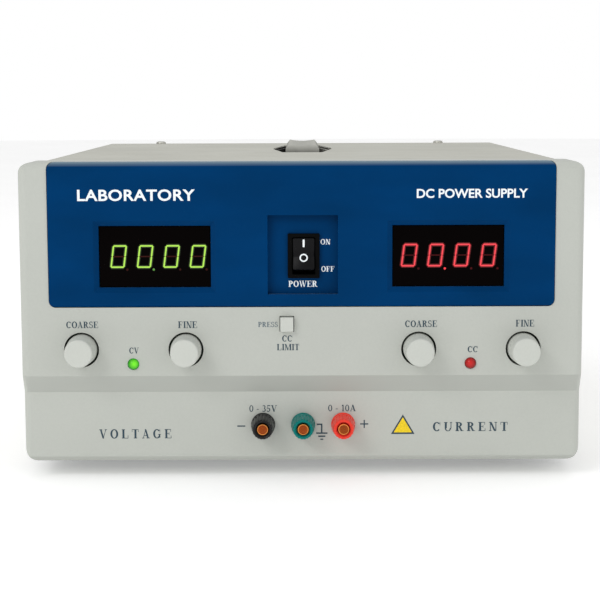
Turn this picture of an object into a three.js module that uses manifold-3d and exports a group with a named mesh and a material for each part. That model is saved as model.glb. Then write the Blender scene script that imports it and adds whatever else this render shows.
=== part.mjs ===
// Bench DC power supply: a moulded front bezel with a blue display fascia, a sheet-steel case, and
// inside it the transformer, heat sink, fan, boards and wiring. Millimetres, +Z up, front faces -Y.
// The group's origin is at the middle of the footprint, on the surface that the rubber feet stand on.
import * as THREE from "three";
import { mergeVertices, mergeGeometries } from "three/addons/utils/BufferGeometryUtils.js";
import Module from "manifold-3d";

const wasm = await Module();
wasm.setup();

// ---------------------------------------------------------------- driving dimensions
const CASE_WIDTH = 265;
const BEZEL_HEIGHT = 143;
const FOOT_HEIGHT = 8;
const BEZEL_DEPTH = 28;
const BEZEL_WALL = 3;
const STEP_BACK = 5; // how far the terminal panel lies behind the upper front face
const STEP_TOP = 42.4; // heights of the sloping band, above the bezel's bottom edge
const STEP_BOTTOM = 33.9;
const EDGE_RADIUS = 4;
const GAP = 0.3; // between pieces that touch
const SEAM = 0.02; // overlap of solids that are joined end to end

const COVER_HALF_WIDTH = 131.5;
const COVER_THICKNESS = 1.2;
const COVER_TOP = FOOT_HEIGHT + 141;
const COVER_REAR = 374;
const REAR_PANEL_FRONT = 370.8;
const SHEET = 1.5;

const FASCIA_HALF_WIDTH = 118.5;
const FASCIA_BOTTOM = FOOT_HEIGHT + 75.3;
const FASCIA_FRONT = -0.6;
const FASCIA_BACK = 2.9;
const FASCIA_CORNER = 3;
const FASCIA_TOP = FOOT_HEIGHT + 143.2;
const FASCIA_LIP = { rear: 7.6, thickness: 1.7 }; // folded back over the bezel's top edge
const WINDOW = { x: 68.75, z: FOOT_HEIGHT + 98.9, width: 52.5, height: 29 };
const SWITCH_RECESS = { x: 0.6, z: FOOT_HEIGHT + 99.7, width: 33, height: 37.2, floor: 3.6 };
const ROCKER_SWITCH = { x: 1, z: FOOT_HEIGHT + 98.95, width: 15, height: 21 };

const KNOB_X = { middle: 0.25, coarse: 104.1, fine: 54.85 };
const KNOB_Z = FOOT_HEIGHT + 54.9;
const KNOB_PROTRUSION = 12.5;
const KNOB_RADIUS = 7.3;
const KNOB_HOLE_RADIUS = 8.3;
const LED = { x: 79.5, z: FOOT_HEIGHT + 48.1, radius: 2.5 };
const BUTTON = { x: -7, z: FOOT_HEIGHT + 67, width: 6.2, height: 6.8, protrusion: 3 };

const POST_PITCH = 19.05;
const POST_MIDDLE_X = 0.5;
const POST_Z = FOOT_HEIGHT + 18;
const SOCKET_RADIUS = 2; // takes a 4 mm plug
const STUD_RADIUS = 2.7;

const WELL = { front: 190, rear: 322, halfWidth: 18, endHalfWidth: 11.5, flat: 6, wall: 1.2, depth: 22 };
const GRIP_HALF_WIDTH = 9.8;
const GRIP_RISE = 4.3; // how far the stowed handle stands above the cover
const HANDLE_TRAVEL = 18;
const HANDLE_X = 0.8;
const COVER_SCREWS = { left: -95.7, right: 93.7, y: 366 };

const FAN = { x: 72, z: FOOT_HEIGHT + 72, size: 80, depth: 25, bore: 38.5 };
const INLET = { x: -85, z: FOOT_HEIGHT + 34 };
const REAR_MOST = 375; // the inlet's flange
const FRONT_BOARD = 14;
const SUBPANEL = 19;

const BEZEL_TOP = FOOT_HEIGHT + BEZEL_HEIGHT;
const HALF_WIDTH = CASE_WIDTH / 2;
const CHASSIS_HALF_WIDTH = HALF_WIDTH - BEZEL_WALL - 0.4;
const CHASSIS_FLOOR = FOOT_HEIGHT + BEZEL_WALL + GAP;
const FLOOR_TOP = CHASSIS_FLOOR + SHEET;

// ---------------------------------------------------------------- materials
function material(color, roughness, metalness = 0) {
  return new THREE.MeshStandardMaterial({ color, roughness, metalness });
}
const bezelGrey = material(0xc2c5be, 0.5);
const fasciaBlue = material(0x0a3f7c, 0.35);
const coverGrey = material(0xc2c2b8, 0.55);
const zincSteel = material(0xa8abac, 0.4, 0.8);
const rubber = material(0x1c1c1c, 0.9);
const knobGrey = material(0xd4d7d0, 0.45);
const gripGrey = material(0x8b8b86, 0.7);
const blackPlastic = material(0x151515, 0.4);
const smokedWindow = material(0x0b0506, 0.15);
const moduleBlack = material(0x141214, 0.6);
const greenLens = material(0x21e33a, 0.25);
const redLens = material(0xd81f1f, 0.25);
const boardGreen = material(0x1e5a32, 0.6);
const brass = material(0xc9904a, 0.3, 1);
const postColours = {
  negative: material(0x1d1b1a, 0.35),
  earth: material(0x12897c, 0.35),
  positive: material(0xe0302c, 0.35),
};
const laminations = material(0x55565a, 0.6, 0.7);
const copperWinding = material(0xb4622d, 0.5, 0.5);
const aluminium = material(0xb7babd, 0.45, 0.9);
const capacitorSleeve = material(0x20242e, 0.5);
const loomSleeve = material(0x2a2a2c, 0.7);
const nickel = material(0xc6c6c0, 0.3, 1);

// ---------------------------------------------------------------- solids from three.js geometry
function solid(geometry) {
  const plain = geometry.index ? geometry.toNonIndexed() : geometry.clone();
  for (const extra of ["normal", "uv"]) plain.deleteAttribute(extra);
  const merged = mergeVertices(plain, 1e-4);
  const triVerts = new Uint32Array(merged.index.array);
  const vertProperties = new Float32Array(merged.attributes.position.array);
  const made = new wasm.Manifold(new wasm.Mesh({ numProp: 3, vertProperties, triVerts }));
  if (made.volume() > 0) return made;
  for (let i = 0; i < triVerts.length; i += 3) triVerts.subarray(i, i + 2).reverse();
  return new wasm.Manifold(new wasm.Mesh({ numProp: 3, vertProperties, triVerts }));
}

function meshOf(name, made, look) {
  const { numProp, vertProperties, triVerts } = made.getMesh();
  const position = new Float32Array((vertProperties.length / numProp) * 3);
  for (let i = 0; i < position.length / 3; i++) {
    position.set(vertProperties.subarray(i * numProp, i * numProp + 3), i * 3);
  }
  const geometry = new THREE.BufferGeometry();
  geometry.setAttribute("position", new THREE.BufferAttribute(position, 3));
  geometry.setIndex(new THREE.BufferAttribute(new Uint32Array(triVerts), 1));
  geometry.computeVertexNormals();
  const mesh = new THREE.Mesh(geometry, look);
  mesh.name = name;
  return mesh;
}

function box([x0, x1], [y0, y1], [z0, z1]) {
  const shape = new THREE.BoxGeometry(x1 - x0, y1 - y0, z1 - z0);
  return solid(shape.translate((x0 + x1) / 2, (y0 + y1) / 2, (z0 + z1) / 2));
}

// A box around (x, z) that runs from y0 to y1.
function blockY(x, z, width, height, y0, y1) {
  return box([x - width / 2, x + width / 2], [y0, y1], [z - height / 2, z + height / 2]);
}

function rodY(x, z, radius, y0, y1, sides = 20) {
  const rod = new THREE.CylinderGeometry(radius, radius, y1 - y0, sides);
  return solid(rod.translate(x, (y0 + y1) / 2, z));
}

function rodZ(x, y, radius, z0, z1, sides = 20) {
  const rod = new THREE.CylinderGeometry(radius, radius, z1 - z0, sides).rotateX(Math.PI / 2);
  return solid(rod.translate(x, y, (z0 + z1) / 2));
}

// A solid of revolution about Y from [radius, y] pairs.
function turnedY(profile, sides = 20) {
  return solid(new THREE.LatheGeometry(profile.map(([r, y]) => new THREE.Vector2(r, y)), sides));
}

// A solid of revolution about Z from [radius, z] pairs.
function turnedZ(profile, sides = 20) {
  const points = profile.map(([r, z]) => new THREE.Vector2(r, z));
  return solid(new THREE.LatheGeometry(points, sides).rotateX(Math.PI / 2));
}

// A plate whose outline is drawn in X-Z, from y0 to y1.
function plateXZ(outline, y0, y1, curveSegments = 5) {
  const options = { depth: y1 - y0, bevelEnabled: false, curveSegments };
  return solid(new THREE.ExtrudeGeometry(outline, options).rotateX(Math.PI / 2).translate(0, y1, 0));
}

// A bar whose section is drawn in Y-Z, from x0 to x1.
const alongX = new THREE.Matrix4().makeBasis(
  new THREE.Vector3(0, 1, 0),
  new THREE.Vector3(0, 0, 1),
  new THREE.Vector3(1, 0, 0),
);
function barX(section, x0, x1, curveSegments = 5) {
  const options = { depth: x1 - x0, bevelEnabled: false, curveSegments };
  return solid(new THREE.ExtrudeGeometry(section, options).applyMatrix4(alongX).translate(x0, 0, 0));
}

// A plate whose outline is drawn in X-Y, from z0 to z1.
function plateXY(outline, z0, z1, curveSegments = 5) {
  const options = { depth: z1 - z0, bevelEnabled: false, curveSegments };
  return solid(new THREE.ExtrudeGeometry(outline, options).translate(0, 0, z0));
}

function polygon(points) {
  return new THREE.Shape(points.map(([u, v]) => new THREE.Vector2(u, v)));
}

function roundedRectangle(u0, u1, v0, v1, bottomRadius, topRadius = bottomRadius) {
  const shape = new THREE.Shape();
  shape.moveTo(u0 + bottomRadius, v0);
  shape.absarc(u1 - bottomRadius, v0 + bottomRadius, bottomRadius, -Math.PI / 2, 0);
  shape.absarc(u1 - topRadius, v1 - topRadius, topRadius, 0, Math.PI / 2);
  shape.absarc(u0 + topRadius, v1 - topRadius, topRadius, Math.PI / 2, Math.PI);
  shape.absarc(u0 + bottomRadius, v0 + bottomRadius, bottomRadius, Math.PI, 1.5 * Math.PI);
  return shape;
}

// A rectangular tunnel along Y that is wider at its front: the sloping surround of a window.
function funnelY(x, z, width, height, y0, y1, flare) {
  const shape = new THREE.BoxGeometry(width, y1 - y0, height);
  const corner = shape.attributes.position;
  for (let i = 0; i < corner.count; i++) {
    if (corner.getY(i) > 0) continue;
    corner.setX(i, corner.getX(i) + Math.sign(corner.getX(i)) * flare);
    corner.setZ(i, corner.getZ(i) + Math.sign(corner.getZ(i)) * flare);
  }
  return solid(shape.translate(x, (y0 + y1) / 2, z));
}

function tube(points, radius, steps, sides = 8) {
  const section = new THREE.Shape();
  section.absarc(0, 0, radius, 0, 2 * Math.PI);
  const extrudePath = new THREE.CatmullRomCurve3(points.map((p) => new THREE.Vector3(...p)));
  return solid(new THREE.ExtrudeGeometry(section, { steps, extrudePath, curveSegments: sides / 2 }));
}

function union(solids) {
  return solids.reduce((joined, next) => joined.add(next));
}

function cut(body, tools) {
  return tools.reduce((left, tool) => left.subtract(tool), body);
}

const knobPlaces = [
  ["voltage_coarse", KNOB_X.middle - KNOB_X.coarse],
  ["voltage_fine", KNOB_X.middle - KNOB_X.fine],
  ["current_coarse", KNOB_X.middle + KNOB_X.fine],
  ["current_fine", KNOB_X.middle + KNOB_X.coarse],
];
const postPlaces = [
  ["negative", POST_MIDDLE_X - POST_PITCH],
  ["earth", POST_MIDDLE_X],
  ["positive", POST_MIDDLE_X + POST_PITCH],
];
const sides = [["left", -1], ["right", 1]];

// A shear that leans a solid forward by the given amount for each millimetre of height.
function slopingBack(lean) {
  return [1, 0, 0, 0, 0, 1, 0, 0, 0, -lean, 1, 0, 0, 0, 0, 1];
}

// ---------------------------------------------------------------- the case
function frontBezel() {
  const section = new THREE.Shape();
  section.moveTo(BEZEL_DEPTH, FOOT_HEIGHT);
  section.lineTo(BEZEL_DEPTH, BEZEL_TOP);
  section.absarc(EDGE_RADIUS, BEZEL_TOP - EDGE_RADIUS, EDGE_RADIUS, Math.PI / 2, Math.PI);
  section.lineTo(0, FOOT_HEIGHT + STEP_TOP);
  section.lineTo(STEP_BACK, FOOT_HEIGHT + STEP_BOTTOM);
  const lowEdge = STEP_BACK + EDGE_RADIUS;
  section.absarc(lowEdge, FOOT_HEIGHT + EDGE_RADIUS, EDGE_RADIUS, Math.PI, 1.5 * Math.PI);

  const outline = roundedRectangle(-HALF_WIDTH, HALF_WIDTH, FOOT_HEIGHT, BEZEL_TOP, 7.5, 6);
  const plan = roundedRectangle(-HALF_WIDTH, HALF_WIDTH, 0, 2 * BEZEL_DEPTH, EDGE_RADIUS);
  const stepHigh = FOOT_HEIGHT + STEP_TOP;
  const stepLow = FOOT_HEIGHT + STEP_BOTTOM;
  const block = barX(section, -HALF_WIDTH, HALF_WIDTH)
    .intersect(plateXZ(outline, -1, BEZEL_DEPTH))
    .intersect(union([
      plateXY(plan, stepHigh, BEZEL_TOP + 1),
      plateXY(plan, -SEAM, stepHigh - stepLow + SEAM)
        .transform(slopingBack(STEP_BACK / (stepHigh - stepLow))).translate([0, STEP_BACK, stepLow]),
      plateXY(plan, 0, stepLow).translate([0, STEP_BACK, 0]),
    ]));

  const inner = HALF_WIDTH - BEZEL_WALL;
  const bottom = FOOT_HEIGHT + BEZEL_WALL;
  const top = BEZEL_TOP - BEZEL_WALL;
  const cavities = [
    box([-inner, inner], [STEP_BACK + 3.5, BEZEL_DEPTH + 1], [bottom, top]),
    box([-inner, inner], [6.5, STEP_BACK + 4], [FOOT_HEIGHT + STEP_TOP + 2, top]),
  ];
  const pocketOutline = roundedRectangle(
    -FASCIA_HALF_WIDTH - GAP, FASCIA_HALF_WIDTH + GAP, FASCIA_BOTTOM - GAP, FASCIA_TOP + GAP,
    FASCIA_CORNER + GAP,
  );
  const lipFloor = FASCIA_TOP - FASCIA_LIP.thickness - GAP;
  const pocket = plateXZ(pocketOutline, -1, FASCIA_BACK + GAP);
  const lipPocket = plateXZ(pocketOutline, -1, FASCIA_LIP.rear + GAP)
    .intersect(box([-HALF_WIDTH, HALF_WIDTH], [-2, BEZEL_DEPTH], [lipFloor, BEZEL_TOP + 2]));
  const windows = sides.map(([, side]) => blockY(side * WINDOW.x, WINDOW.z, 57, 33, 2, 9));
  const pan = blockY(SWITCH_RECESS.x, SWITCH_RECESS.z, 40, 44, 2, 9);
  const knobHoles = knobPlaces.map(([, x]) => rodY(x, KNOB_Z, KNOB_HOLE_RADIUS, -1, 9, 32));
  const ledHoles = sides.map(([, side]) => rodY(side * LED.x, LED.z, LED.radius + GAP, -1, 9, 16));
  const postHoles = postPlaces.map(([, x]) => rodY(x, POST_Z, 3.75, 4, 9, 16));
  const buttonHole = blockY(BUTTON.x, BUTTON.z, BUTTON.width + 0.7, BUTTON.height + 0.7, -1, 9);
  return cut(block, [
    ...cavities, pocket, lipPocket, ...windows, pan, ...knobHoles, ...ledHoles, ...postHoles, buttonHole,
  ]);
}

function displayFascia() {
  const section = new THREE.Shape();
  const radius = EDGE_RADIUS + 0.5;
  const top = FASCIA_TOP;
  const under = top - FASCIA_LIP.thickness;
  section.moveTo(FASCIA_BACK, FASCIA_BOTTOM);
  section.lineTo(FASCIA_BACK, under);
  section.lineTo(FASCIA_LIP.rear, under);
  section.lineTo(FASCIA_LIP.rear, top);
  section.absarc(FASCIA_FRONT + radius, top - radius, radius, Math.PI / 2, Math.PI);
  section.absarc(FASCIA_FRONT + 1, FASCIA_BOTTOM + 1, 1, Math.PI, 1.5 * Math.PI);
  const plate = barX(section, -FASCIA_HALF_WIDTH, FASCIA_HALF_WIDTH, 4);
  const outline = roundedRectangle(
    -FASCIA_HALF_WIDTH, FASCIA_HALF_WIDTH, FASCIA_BOTTOM, top, FASCIA_CORNER,
  );
  const { x, z, width, height, floor } = SWITCH_RECESS;
  const pan = blockY(x, z, width + 5, height + 5, FASCIA_BACK - 0.5, floor + 2.2);
  const recess = blockY(x, z, width, height, -1, floor);
  const switchHole = blockY(ROCKER_SWITCH.x, ROCKER_SWITCH.z, 13.2, 19.2, 3, 7);
  const windows = sides.flatMap(([, side]) => [
    blockY(side * WINDOW.x, WINDOW.z, WINDOW.width, WINDOW.height, -1, 4),
    funnelY(side * WINDOW.x, WINDOW.z, WINDOW.width, WINDOW.height, -0.7, 1, 2.6),
  ]);
  return cut(plate.intersect(plateXZ(outline, -2, 9, 4)).add(pan), [recess, switchHole, ...windows]);
}

function topCover() {
  const low = FOOT_HEIGHT + 2.5;
  const front = BEZEL_DEPTH + GAP;
  const inner = COVER_HALF_WIDTH - COVER_THICKNESS;
  const shell = roundedRectangle(-COVER_HALF_WIDTH, COVER_HALF_WIDTH, low, COVER_TOP, 0.1, 1.6);
  const hollow = roundedRectangle(-inner, inner, low - 5, COVER_TOP - COVER_THICKNESS, 0.1, 0.4);
  const slots = [];
  for (const [, side] of sides) {
    const wall = side * COVER_HALF_WIDTH;
    for (let i = 0; i < 14; i++) {
      const y = 232 + i * 8;
      slots.push(box([wall - 3, wall + 3], [y - 1.5, y + 1.5], [66, 104]));
    }
  }
  const mouth = plateXY(wellOutline(0), COVER_TOP - 3, COVER_TOP + 1).translate([HANDLE_X, 0, 0]);
  const screwHoles = sides.map(([name]) =>
    rodZ(COVER_SCREWS[name], COVER_SCREWS.y, 1.9, COVER_TOP - 3, COVER_TOP + 1, 12),
  );
  return cut(plateXZ(shell, front, COVER_REAR, 3), [
    plateXZ(hollow, front - 1, COVER_REAR + 1, 3), ...slots, mouth, ...screwHoles,
  ]);
}

function baseChassis() {
  const wide = CHASSIS_HALF_WIDTH;
  const front = SUBPANEL + SHEET + GAP;
  const rear = REAR_PANEL_FRONT - GAP;
  const flangeTop = CHASSIS_FLOOR + 25;
  const floor = box([-wide, wide], [front, rear], [CHASSIS_FLOOR, FLOOR_TOP]);
  const flanges = [
    box([-wide, -wide + SHEET], [front, rear], [CHASSIS_FLOOR, flangeTop]),
    box([wide - SHEET, wide], [front, rear], [CHASSIS_FLOOR, flangeTop]),
    box([-wide, wide], [front, front + SHEET], [CHASSIS_FLOOR, flangeTop]),
    box([-wide, wide], [rear - SHEET, rear], [CHASSIS_FLOOR, CHASSIS_FLOOR + 9]),
  ];
  const studHoles = postPlaces.map(([, x]) => rodY(x, POST_Z, 4.5, front - 1, front + 3, 12));
  const vents = [];
  for (let i = 0; i < 12; i++) {
    const x = -66 + i * 12;
    vents.push(box([x - 1.7, x + 1.7], [305, 335], [CHASSIS_FLOOR - 1, FLOOR_TOP + 1]));
  }
  return cut(union([floor, ...flanges]), [...studHoles, ...vents]);
}

function frontSubpanel() {
  const plate = box([-126, 126], [SUBPANEL, SUBPANEL + SHEET], [CHASSIS_FLOOR, 146]);
  const bushingHoles = knobPlaces.map(([, x]) => rodY(x, KNOB_Z, 3.9, SUBPANEL - 1, SUBPANEL + 3, 16));
  const studHoles = postPlaces.map(([, x]) => rodY(x, POST_Z, 4.5, SUBPANEL - 1, SUBPANEL + 3, 12));
  const switchHole = blockY(ROCKER_SWITCH.x, ROCKER_SWITCH.z, 18, 24, SUBPANEL - 1, SUBPANEL + 3);
  return cut(plate, [...bushingHoles, ...studHoles, switchHole]);
}

function rearPanel() {
  const wide = CHASSIS_HALF_WIDTH;
  const y0 = REAR_PANEL_FRONT;
  const top = COVER_TOP - COVER_THICKNESS - GAP;
  const plate = plateXZ(roundedRectangle(-wide, wide, FLOOR_TOP + GAP, top, 0.1, 3), y0, y0 + SHEET, 3);
  const grille = [];
  const reach = 37;
  for (let row = -5; row <= 5; row++) {
    const half = Math.sqrt(reach * reach - (row * 6.6) ** 2);
    for (const side of [-1, 1]) {
      const middle = FAN.x + (side * (half + 1.5)) / 2;
      grille.push(blockY(middle, FAN.z + row * 6.6, half - 1.5, 3.6, y0 - 1, y0 + 3));
    }
  }
  const inletHole = blockY(INLET.x, INLET.z, 32, 34, y0 - 1, y0 + 3);
  const vents = [];
  for (let i = 0; i < 12; i++) {
    vents.push(blockY(-115 + i * 8, FOOT_HEIGHT + 105, 3, 36, y0 - 1, y0 + 3));
  }
  return cut(plate, [...grille, inletHole, ...vents]);
}

function foot() {
  const top = CHASSIS_FLOOR - GAP;
  return turnedZ([[0, 5], [3, 5], [3, 0], [7.6, 0], [8.4, 0.8], [9.5, top], [0, top]]);
}

function coverScrew() {
  return turnedZ([[0, -6], [1.5, -6], [1.5, GAP], [3.3, GAP], [3.2, 0.8], [2.2, 1.5], [0, 1.7]], 14);
}

// ---------------------------------------------------------------- the carrying handle
// The mouth of the handle's well, widest at its middle, where the fingers go in.
function wellOutline(inset) {
  const { front, rear, halfWidth, endHalfWidth, flat } = WELL;
  const middle = (front + rear) / 2;
  const a = halfWidth - inset;
  const b = endHalfWidth - inset;
  return polygon([
    [-b, front + inset], [b, front + inset], [a, middle - flat], [a, middle + flat],
    [b, rear - inset], [-b, rear - inset], [-a, middle + flat], [-a, middle - flat],
  ]);
}

function handleWell() {
  const rim = COVER_TOP - COVER_THICKNESS - GAP;
  const bottom = COVER_TOP - WELL.depth;
  const flange = plateXY(wellOutline(-7), rim - 1.5, rim);
  const tray = plateXY(wellOutline(0), bottom - 2, rim);
  const hollow = plateXY(wellOutline(WELL.wall), bottom, rim + 1);
  const legHoles = [WELL.front + 9, WELL.rear - 9].map((y) =>
    box([-5.8, 5.8], [y - 4.6, y + 4.6], [bottom - 3, bottom + 1]),
  );
  return cut(flange.add(tray), [hollow, ...legHoles]);
}

// A moulded grip that bridges the well, on two legs with snap barbs that stop its travel.
function handleGrip() {
  const top = COVER_TOP + GRIP_RISE;
  const thick = 9.5;
  const start = WELL.front + WELL.wall + 0.6;
  const end = WELL.rear - WELL.wall - 0.6;
  const arch = new THREE.Shape();
  arch.moveTo(start, top - 14);
  arch.quadraticCurveTo(start, top - 1.2, start + 16, top);
  arch.lineTo(end - 16, top);
  arch.quadraticCurveTo(end, top - 1.2, end, top - 14);
  arch.lineTo(end - 12, top - 14);
  arch.quadraticCurveTo(end - 13, top - thick, end - 20, top - thick);
  arch.lineTo(start + 20, top - thick);
  arch.quadraticCurveTo(start + 13, top - thick, start + 12, top - 14);
  const section = polygon([
    [-GRIP_HALF_WIDTH, top - 16], [GRIP_HALF_WIDTH, top - 16], [GRIP_HALF_WIDTH, top - 2.6],
    [GRIP_HALF_WIDTH - 2, top + 0.1], [2 - GRIP_HALF_WIDTH, top + 0.1], [-GRIP_HALF_WIDTH, top - 2.6],
  ]);
  const bridge = barX(arch, -GRIP_HALF_WIDTH, GRIP_HALF_WIDTH, 6).intersect(plateXZ(section, start, end));
  const dish = new THREE.CylinderGeometry(35, 35, 200, 96).translate(0, 255, top + 34.1);
  const floor = COVER_TOP - WELL.depth;
  const underside = floor - 2 - HANDLE_TRAVEL - GAP;
  const legs = [WELL.front + 9, WELL.rear - 9].flatMap((y, i) => {
    const inward = i ? -1 : 1;
    const barb = y + inward * 6;
    return [
      box([-5.4, 5.4], [y - 4.2, y + 4.2], [underside - 3, top - 13]),
      box([-5.4, 5.4], [Math.min(y, barb), Math.max(y, barb)], [underside - 3, underside]),
    ];
  });
  return union([bridge.subtract(solid(dish)), ...legs]);
}

// ---------------------------------------------------------------- front controls
// Turned knob on its axis: y = 0 is the bezel's face.
function knob() {
  return turnedY([
    [0, -KNOB_PROTRUSION], [5.9, -KNOB_PROTRUSION], [6.5, 0.7 - KNOB_PROTRUSION],
    [KNOB_RADIUS - 0.15, -0.5], [KNOB_RADIUS, 5], [3.3, 5], [3.3, -8], [0, -8],
  ], 32);
}

function potShaft() {
  return rodY(0, 0, 3, -7.5, SUBPANEL + 0.9, 16);
}

function potBody() {
  const rear = SUBPANEL + SHEET + GAP;
  const can = rodY(0, 0, 8, rear, rear + 9, 24);
  const bushing = rodY(0, 0, 3.6, FRONT_BOARD - 2, rear + 0.5, 16);
  const bore = rodY(0, 0, 3.3, FRONT_BOARD - 3, rear, 16);
  const tags = [-5, 0, 5].map((x) => box([x - 0.6, x + 0.6], [rear + 5, rear + 6], [-12.5, -4]));
  return cut(union([can, bushing, ...tags]), [bore]);
}

function switchHousing() {
  const { x, z, width, height } = ROCKER_SWITCH;
  const back = SWITCH_RECESS.floor - GAP;
  const flange = blockY(x, z, width, height, back - 1.8, back);
  const body = blockY(x, z, 12.6, 18.6, back - 0.5, 24);
  const cavity = blockY(x, z, 10.6, 17.2, 0, 11.5);
  const tags = [-5, 5].map((dz) => blockY(x, z + dz, 4.8, 0.8, 23.5, 32));
  return cut(union([flange, body, ...tags]), [cavity]);
}

// The rocker about its pivot, at the angle that it rests at with the upper end pressed.
const ROCKER_TILT = THREE.MathUtils.degToRad(11);
const ROCKER_PIVOT_Y = 5.6;
function rocker() {
  const section = polygon([
    [-6.3, -7.2], [-5.1, -3.6], [-4.7, 0], [-5.1, 3.6], [-6.3, 7.2],
    [1, 6.2], [4.2, 1.2], [4.2, -1.2], [1, -6.2],
  ]);
  return barX(section, -5, 5);
}

function limitButton() {
  const { width, height, protrusion } = BUTTON;
  const cap = blockY(0, 0, width, height, -protrusion, 7.4);
  const flange = blockY(0, 0, width + 3, height + 3, 6.9, 7.8);
  return cap.add(flange);
}

function led() {
  const dome = [[0, -2.2], [1, -2], [1.9, -1.3], [2.5, 0]];
  const lens = turnedY([...dome, [2.5, 6.9], [2.9, 6.9], [2.9, 7.9], [0, 7.9]], 16);
  const leads = [-1.27, 1.27].map((x) => blockY(x, 0, 0.6, 0.6, 7.5, FRONT_BOARD - GAP));
  return union([lens, ...leads]);
}

function frontBoard() {
  const low = FOOT_HEIGHT + 44;
  const plate = box([-122, 122], [FRONT_BOARD, FRONT_BOARD + 1.6], [low, FOOT_HEIGHT + 126]);
  const holes = knobPlaces.map(([, x]) => rodY(x, KNOB_Z, 4.2, FRONT_BOARD - 1, FRONT_BOARD + 3, 12));
  const switchHole = blockY(ROCKER_SWITCH.x, ROCKER_SWITCH.z, 15, 21, FRONT_BOARD - 1, FRONT_BOARD + 3);
  return cut(plate, [...holes, switchHole]);
}

// ---------------------------------------------------------------- binding posts, on their axis
function postBase() {
  const flange = STEP_BACK - GAP;
  return turnedY([
    [3.1, flange - 1.3], [5.7, flange - 1.3], [5.7, flange], [3.4, flange], [3.4, 12], [3.1, 12],
    [3.1, flange - 1.3],
  ]);
}

function postStud() {
  return turnedY([
    [SOCKET_RADIUS, -7.9], [STUD_RADIUS, -7.9], [STUD_RADIUS, 36], [0, 36], [0, 14], [SOCKET_RADIUS, 14],
    [SOCKET_RADIUS, -7.9],
  ], 16);
}

function postWasher() {
  return turnedY([[3, 2.1], [4.6, 2.1], [4.6, 3.1], [3, 3.1], [3, 2.1]], 16);
}

function postCap() {
  const front = -8.2;
  const body = turnedY([
    [3.1, 1.8], [5.6, 1.8], [5.6, 0.4], [4.9, front + 0.4], [4.5, front], [3.6, front], [3.6, front + 1.2],
    [3.1, front + 1.2], [3.1, 1.8],
  ], 24);
  const flutes = [];
  for (let i = 0; i < 12; i++) {
    const angle = (i / 12) * 2 * Math.PI;
    flutes.push(rodY(6 * Math.cos(angle), 6 * Math.sin(angle), 0.75, front - 1, 0.6, 6));
  }
  return cut(body, flutes);
}

// ---------------------------------------------------------------- inside the case
const TRANSFORMER = { x: -67, y: 242, width: 114, height: 95, stack: 65, leg: 38, window: 19 };

function transformerCore() {
  const { x, y, width, height, stack, leg, window } = TRANSFORMER;
  const z0 = FLOOR_TOP + GAP;
  const block = box([x - width / 2, x + width / 2], [y - stack / 2, y + stack / 2], [z0, z0 + height]);
  const windows = [-1, 1].map((side) => {
    const middle = x + (side * (leg + window)) / 2;
    return blockY(middle, z0 + height / 2, window, height - 2 * window, y - stack, y + stack);
  });
  return cut(block, windows);
}

function transformerWinding() {
  const { x, y, height, stack, leg, window } = TRANSFORMER;
  const middle = FLOOR_TOP + GAP + height / 2;
  const half = leg / 2 + window - 1;
  const deep = stack / 2 + window - 1;
  const outer = roundedRectangle(x - half, x + half, y - deep, y + deep, 8);
  const hole = roundedRectangle(
    x - leg / 2 - 0.6, x + leg / 2 + 0.6, y - stack / 2 - 0.6, y + stack / 2 + 0.6, 0.4,
  );
  const tall = (height - 2 * window) / 2 - 0.6;
  return plateXY(outer, middle - tall, middle + tall, 3)
    .subtract(plateXY(hole, middle - tall - 1, middle + tall + 1, 1));
}

function heatSink() {
  const y0 = 180;
  const y1 = 330;
  const back = box([108, 114], [y0, y1], [FLOOR_TOP + GAP, 124]);
  const fins = [];
  for (let i = 0; i < 9; i++) {
    const z = 38 + i * 10;
    fins.push(box([56, 108.5], [y0, y1], [z, z + 2.4]));
  }
  return union([back, ...fins]);
}

function fanFrame() {
  const { x, z, size, depth, bore } = FAN;
  const rear = REAR_PANEL_FRONT - 0.4;
  const front = rear - depth;
  const body = blockY(x, z, size, size, front, rear).subtract(rodY(x, z, bore, front - 1, rear + 1, 32));
  const hub = rodY(x, z, 17, rear - 4, rear, 24);
  const struts = [45, 135].map((angle) => {
    const strut = new THREE.BoxGeometry(2 * bore + 1, 3, 4).rotateY(THREE.MathUtils.degToRad(angle));
    return solid(strut.translate(x, rear - 1.5, z));
  });
  return union([body, hub, ...struts]);
}

function fanRotor() {
  const front = REAR_PANEL_FRONT - 0.4 - FAN.depth + 2;
  const hub = rodY(0, 0, 17, front, front + 18, 24);
  const blades = [];
  for (let i = 0; i < 7; i++) {
    const blade = new THREE.BoxGeometry(21, 1.4, 17);
    blade.rotateX(THREE.MathUtils.degToRad(42)).translate(26, 0, 0);
    blade.rotateY((i / 7) * 2 * Math.PI).translate(0, front + 9, 0);
    blades.push(solid(blade));
  }
  return union([hub, ...blades]);
}

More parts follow.
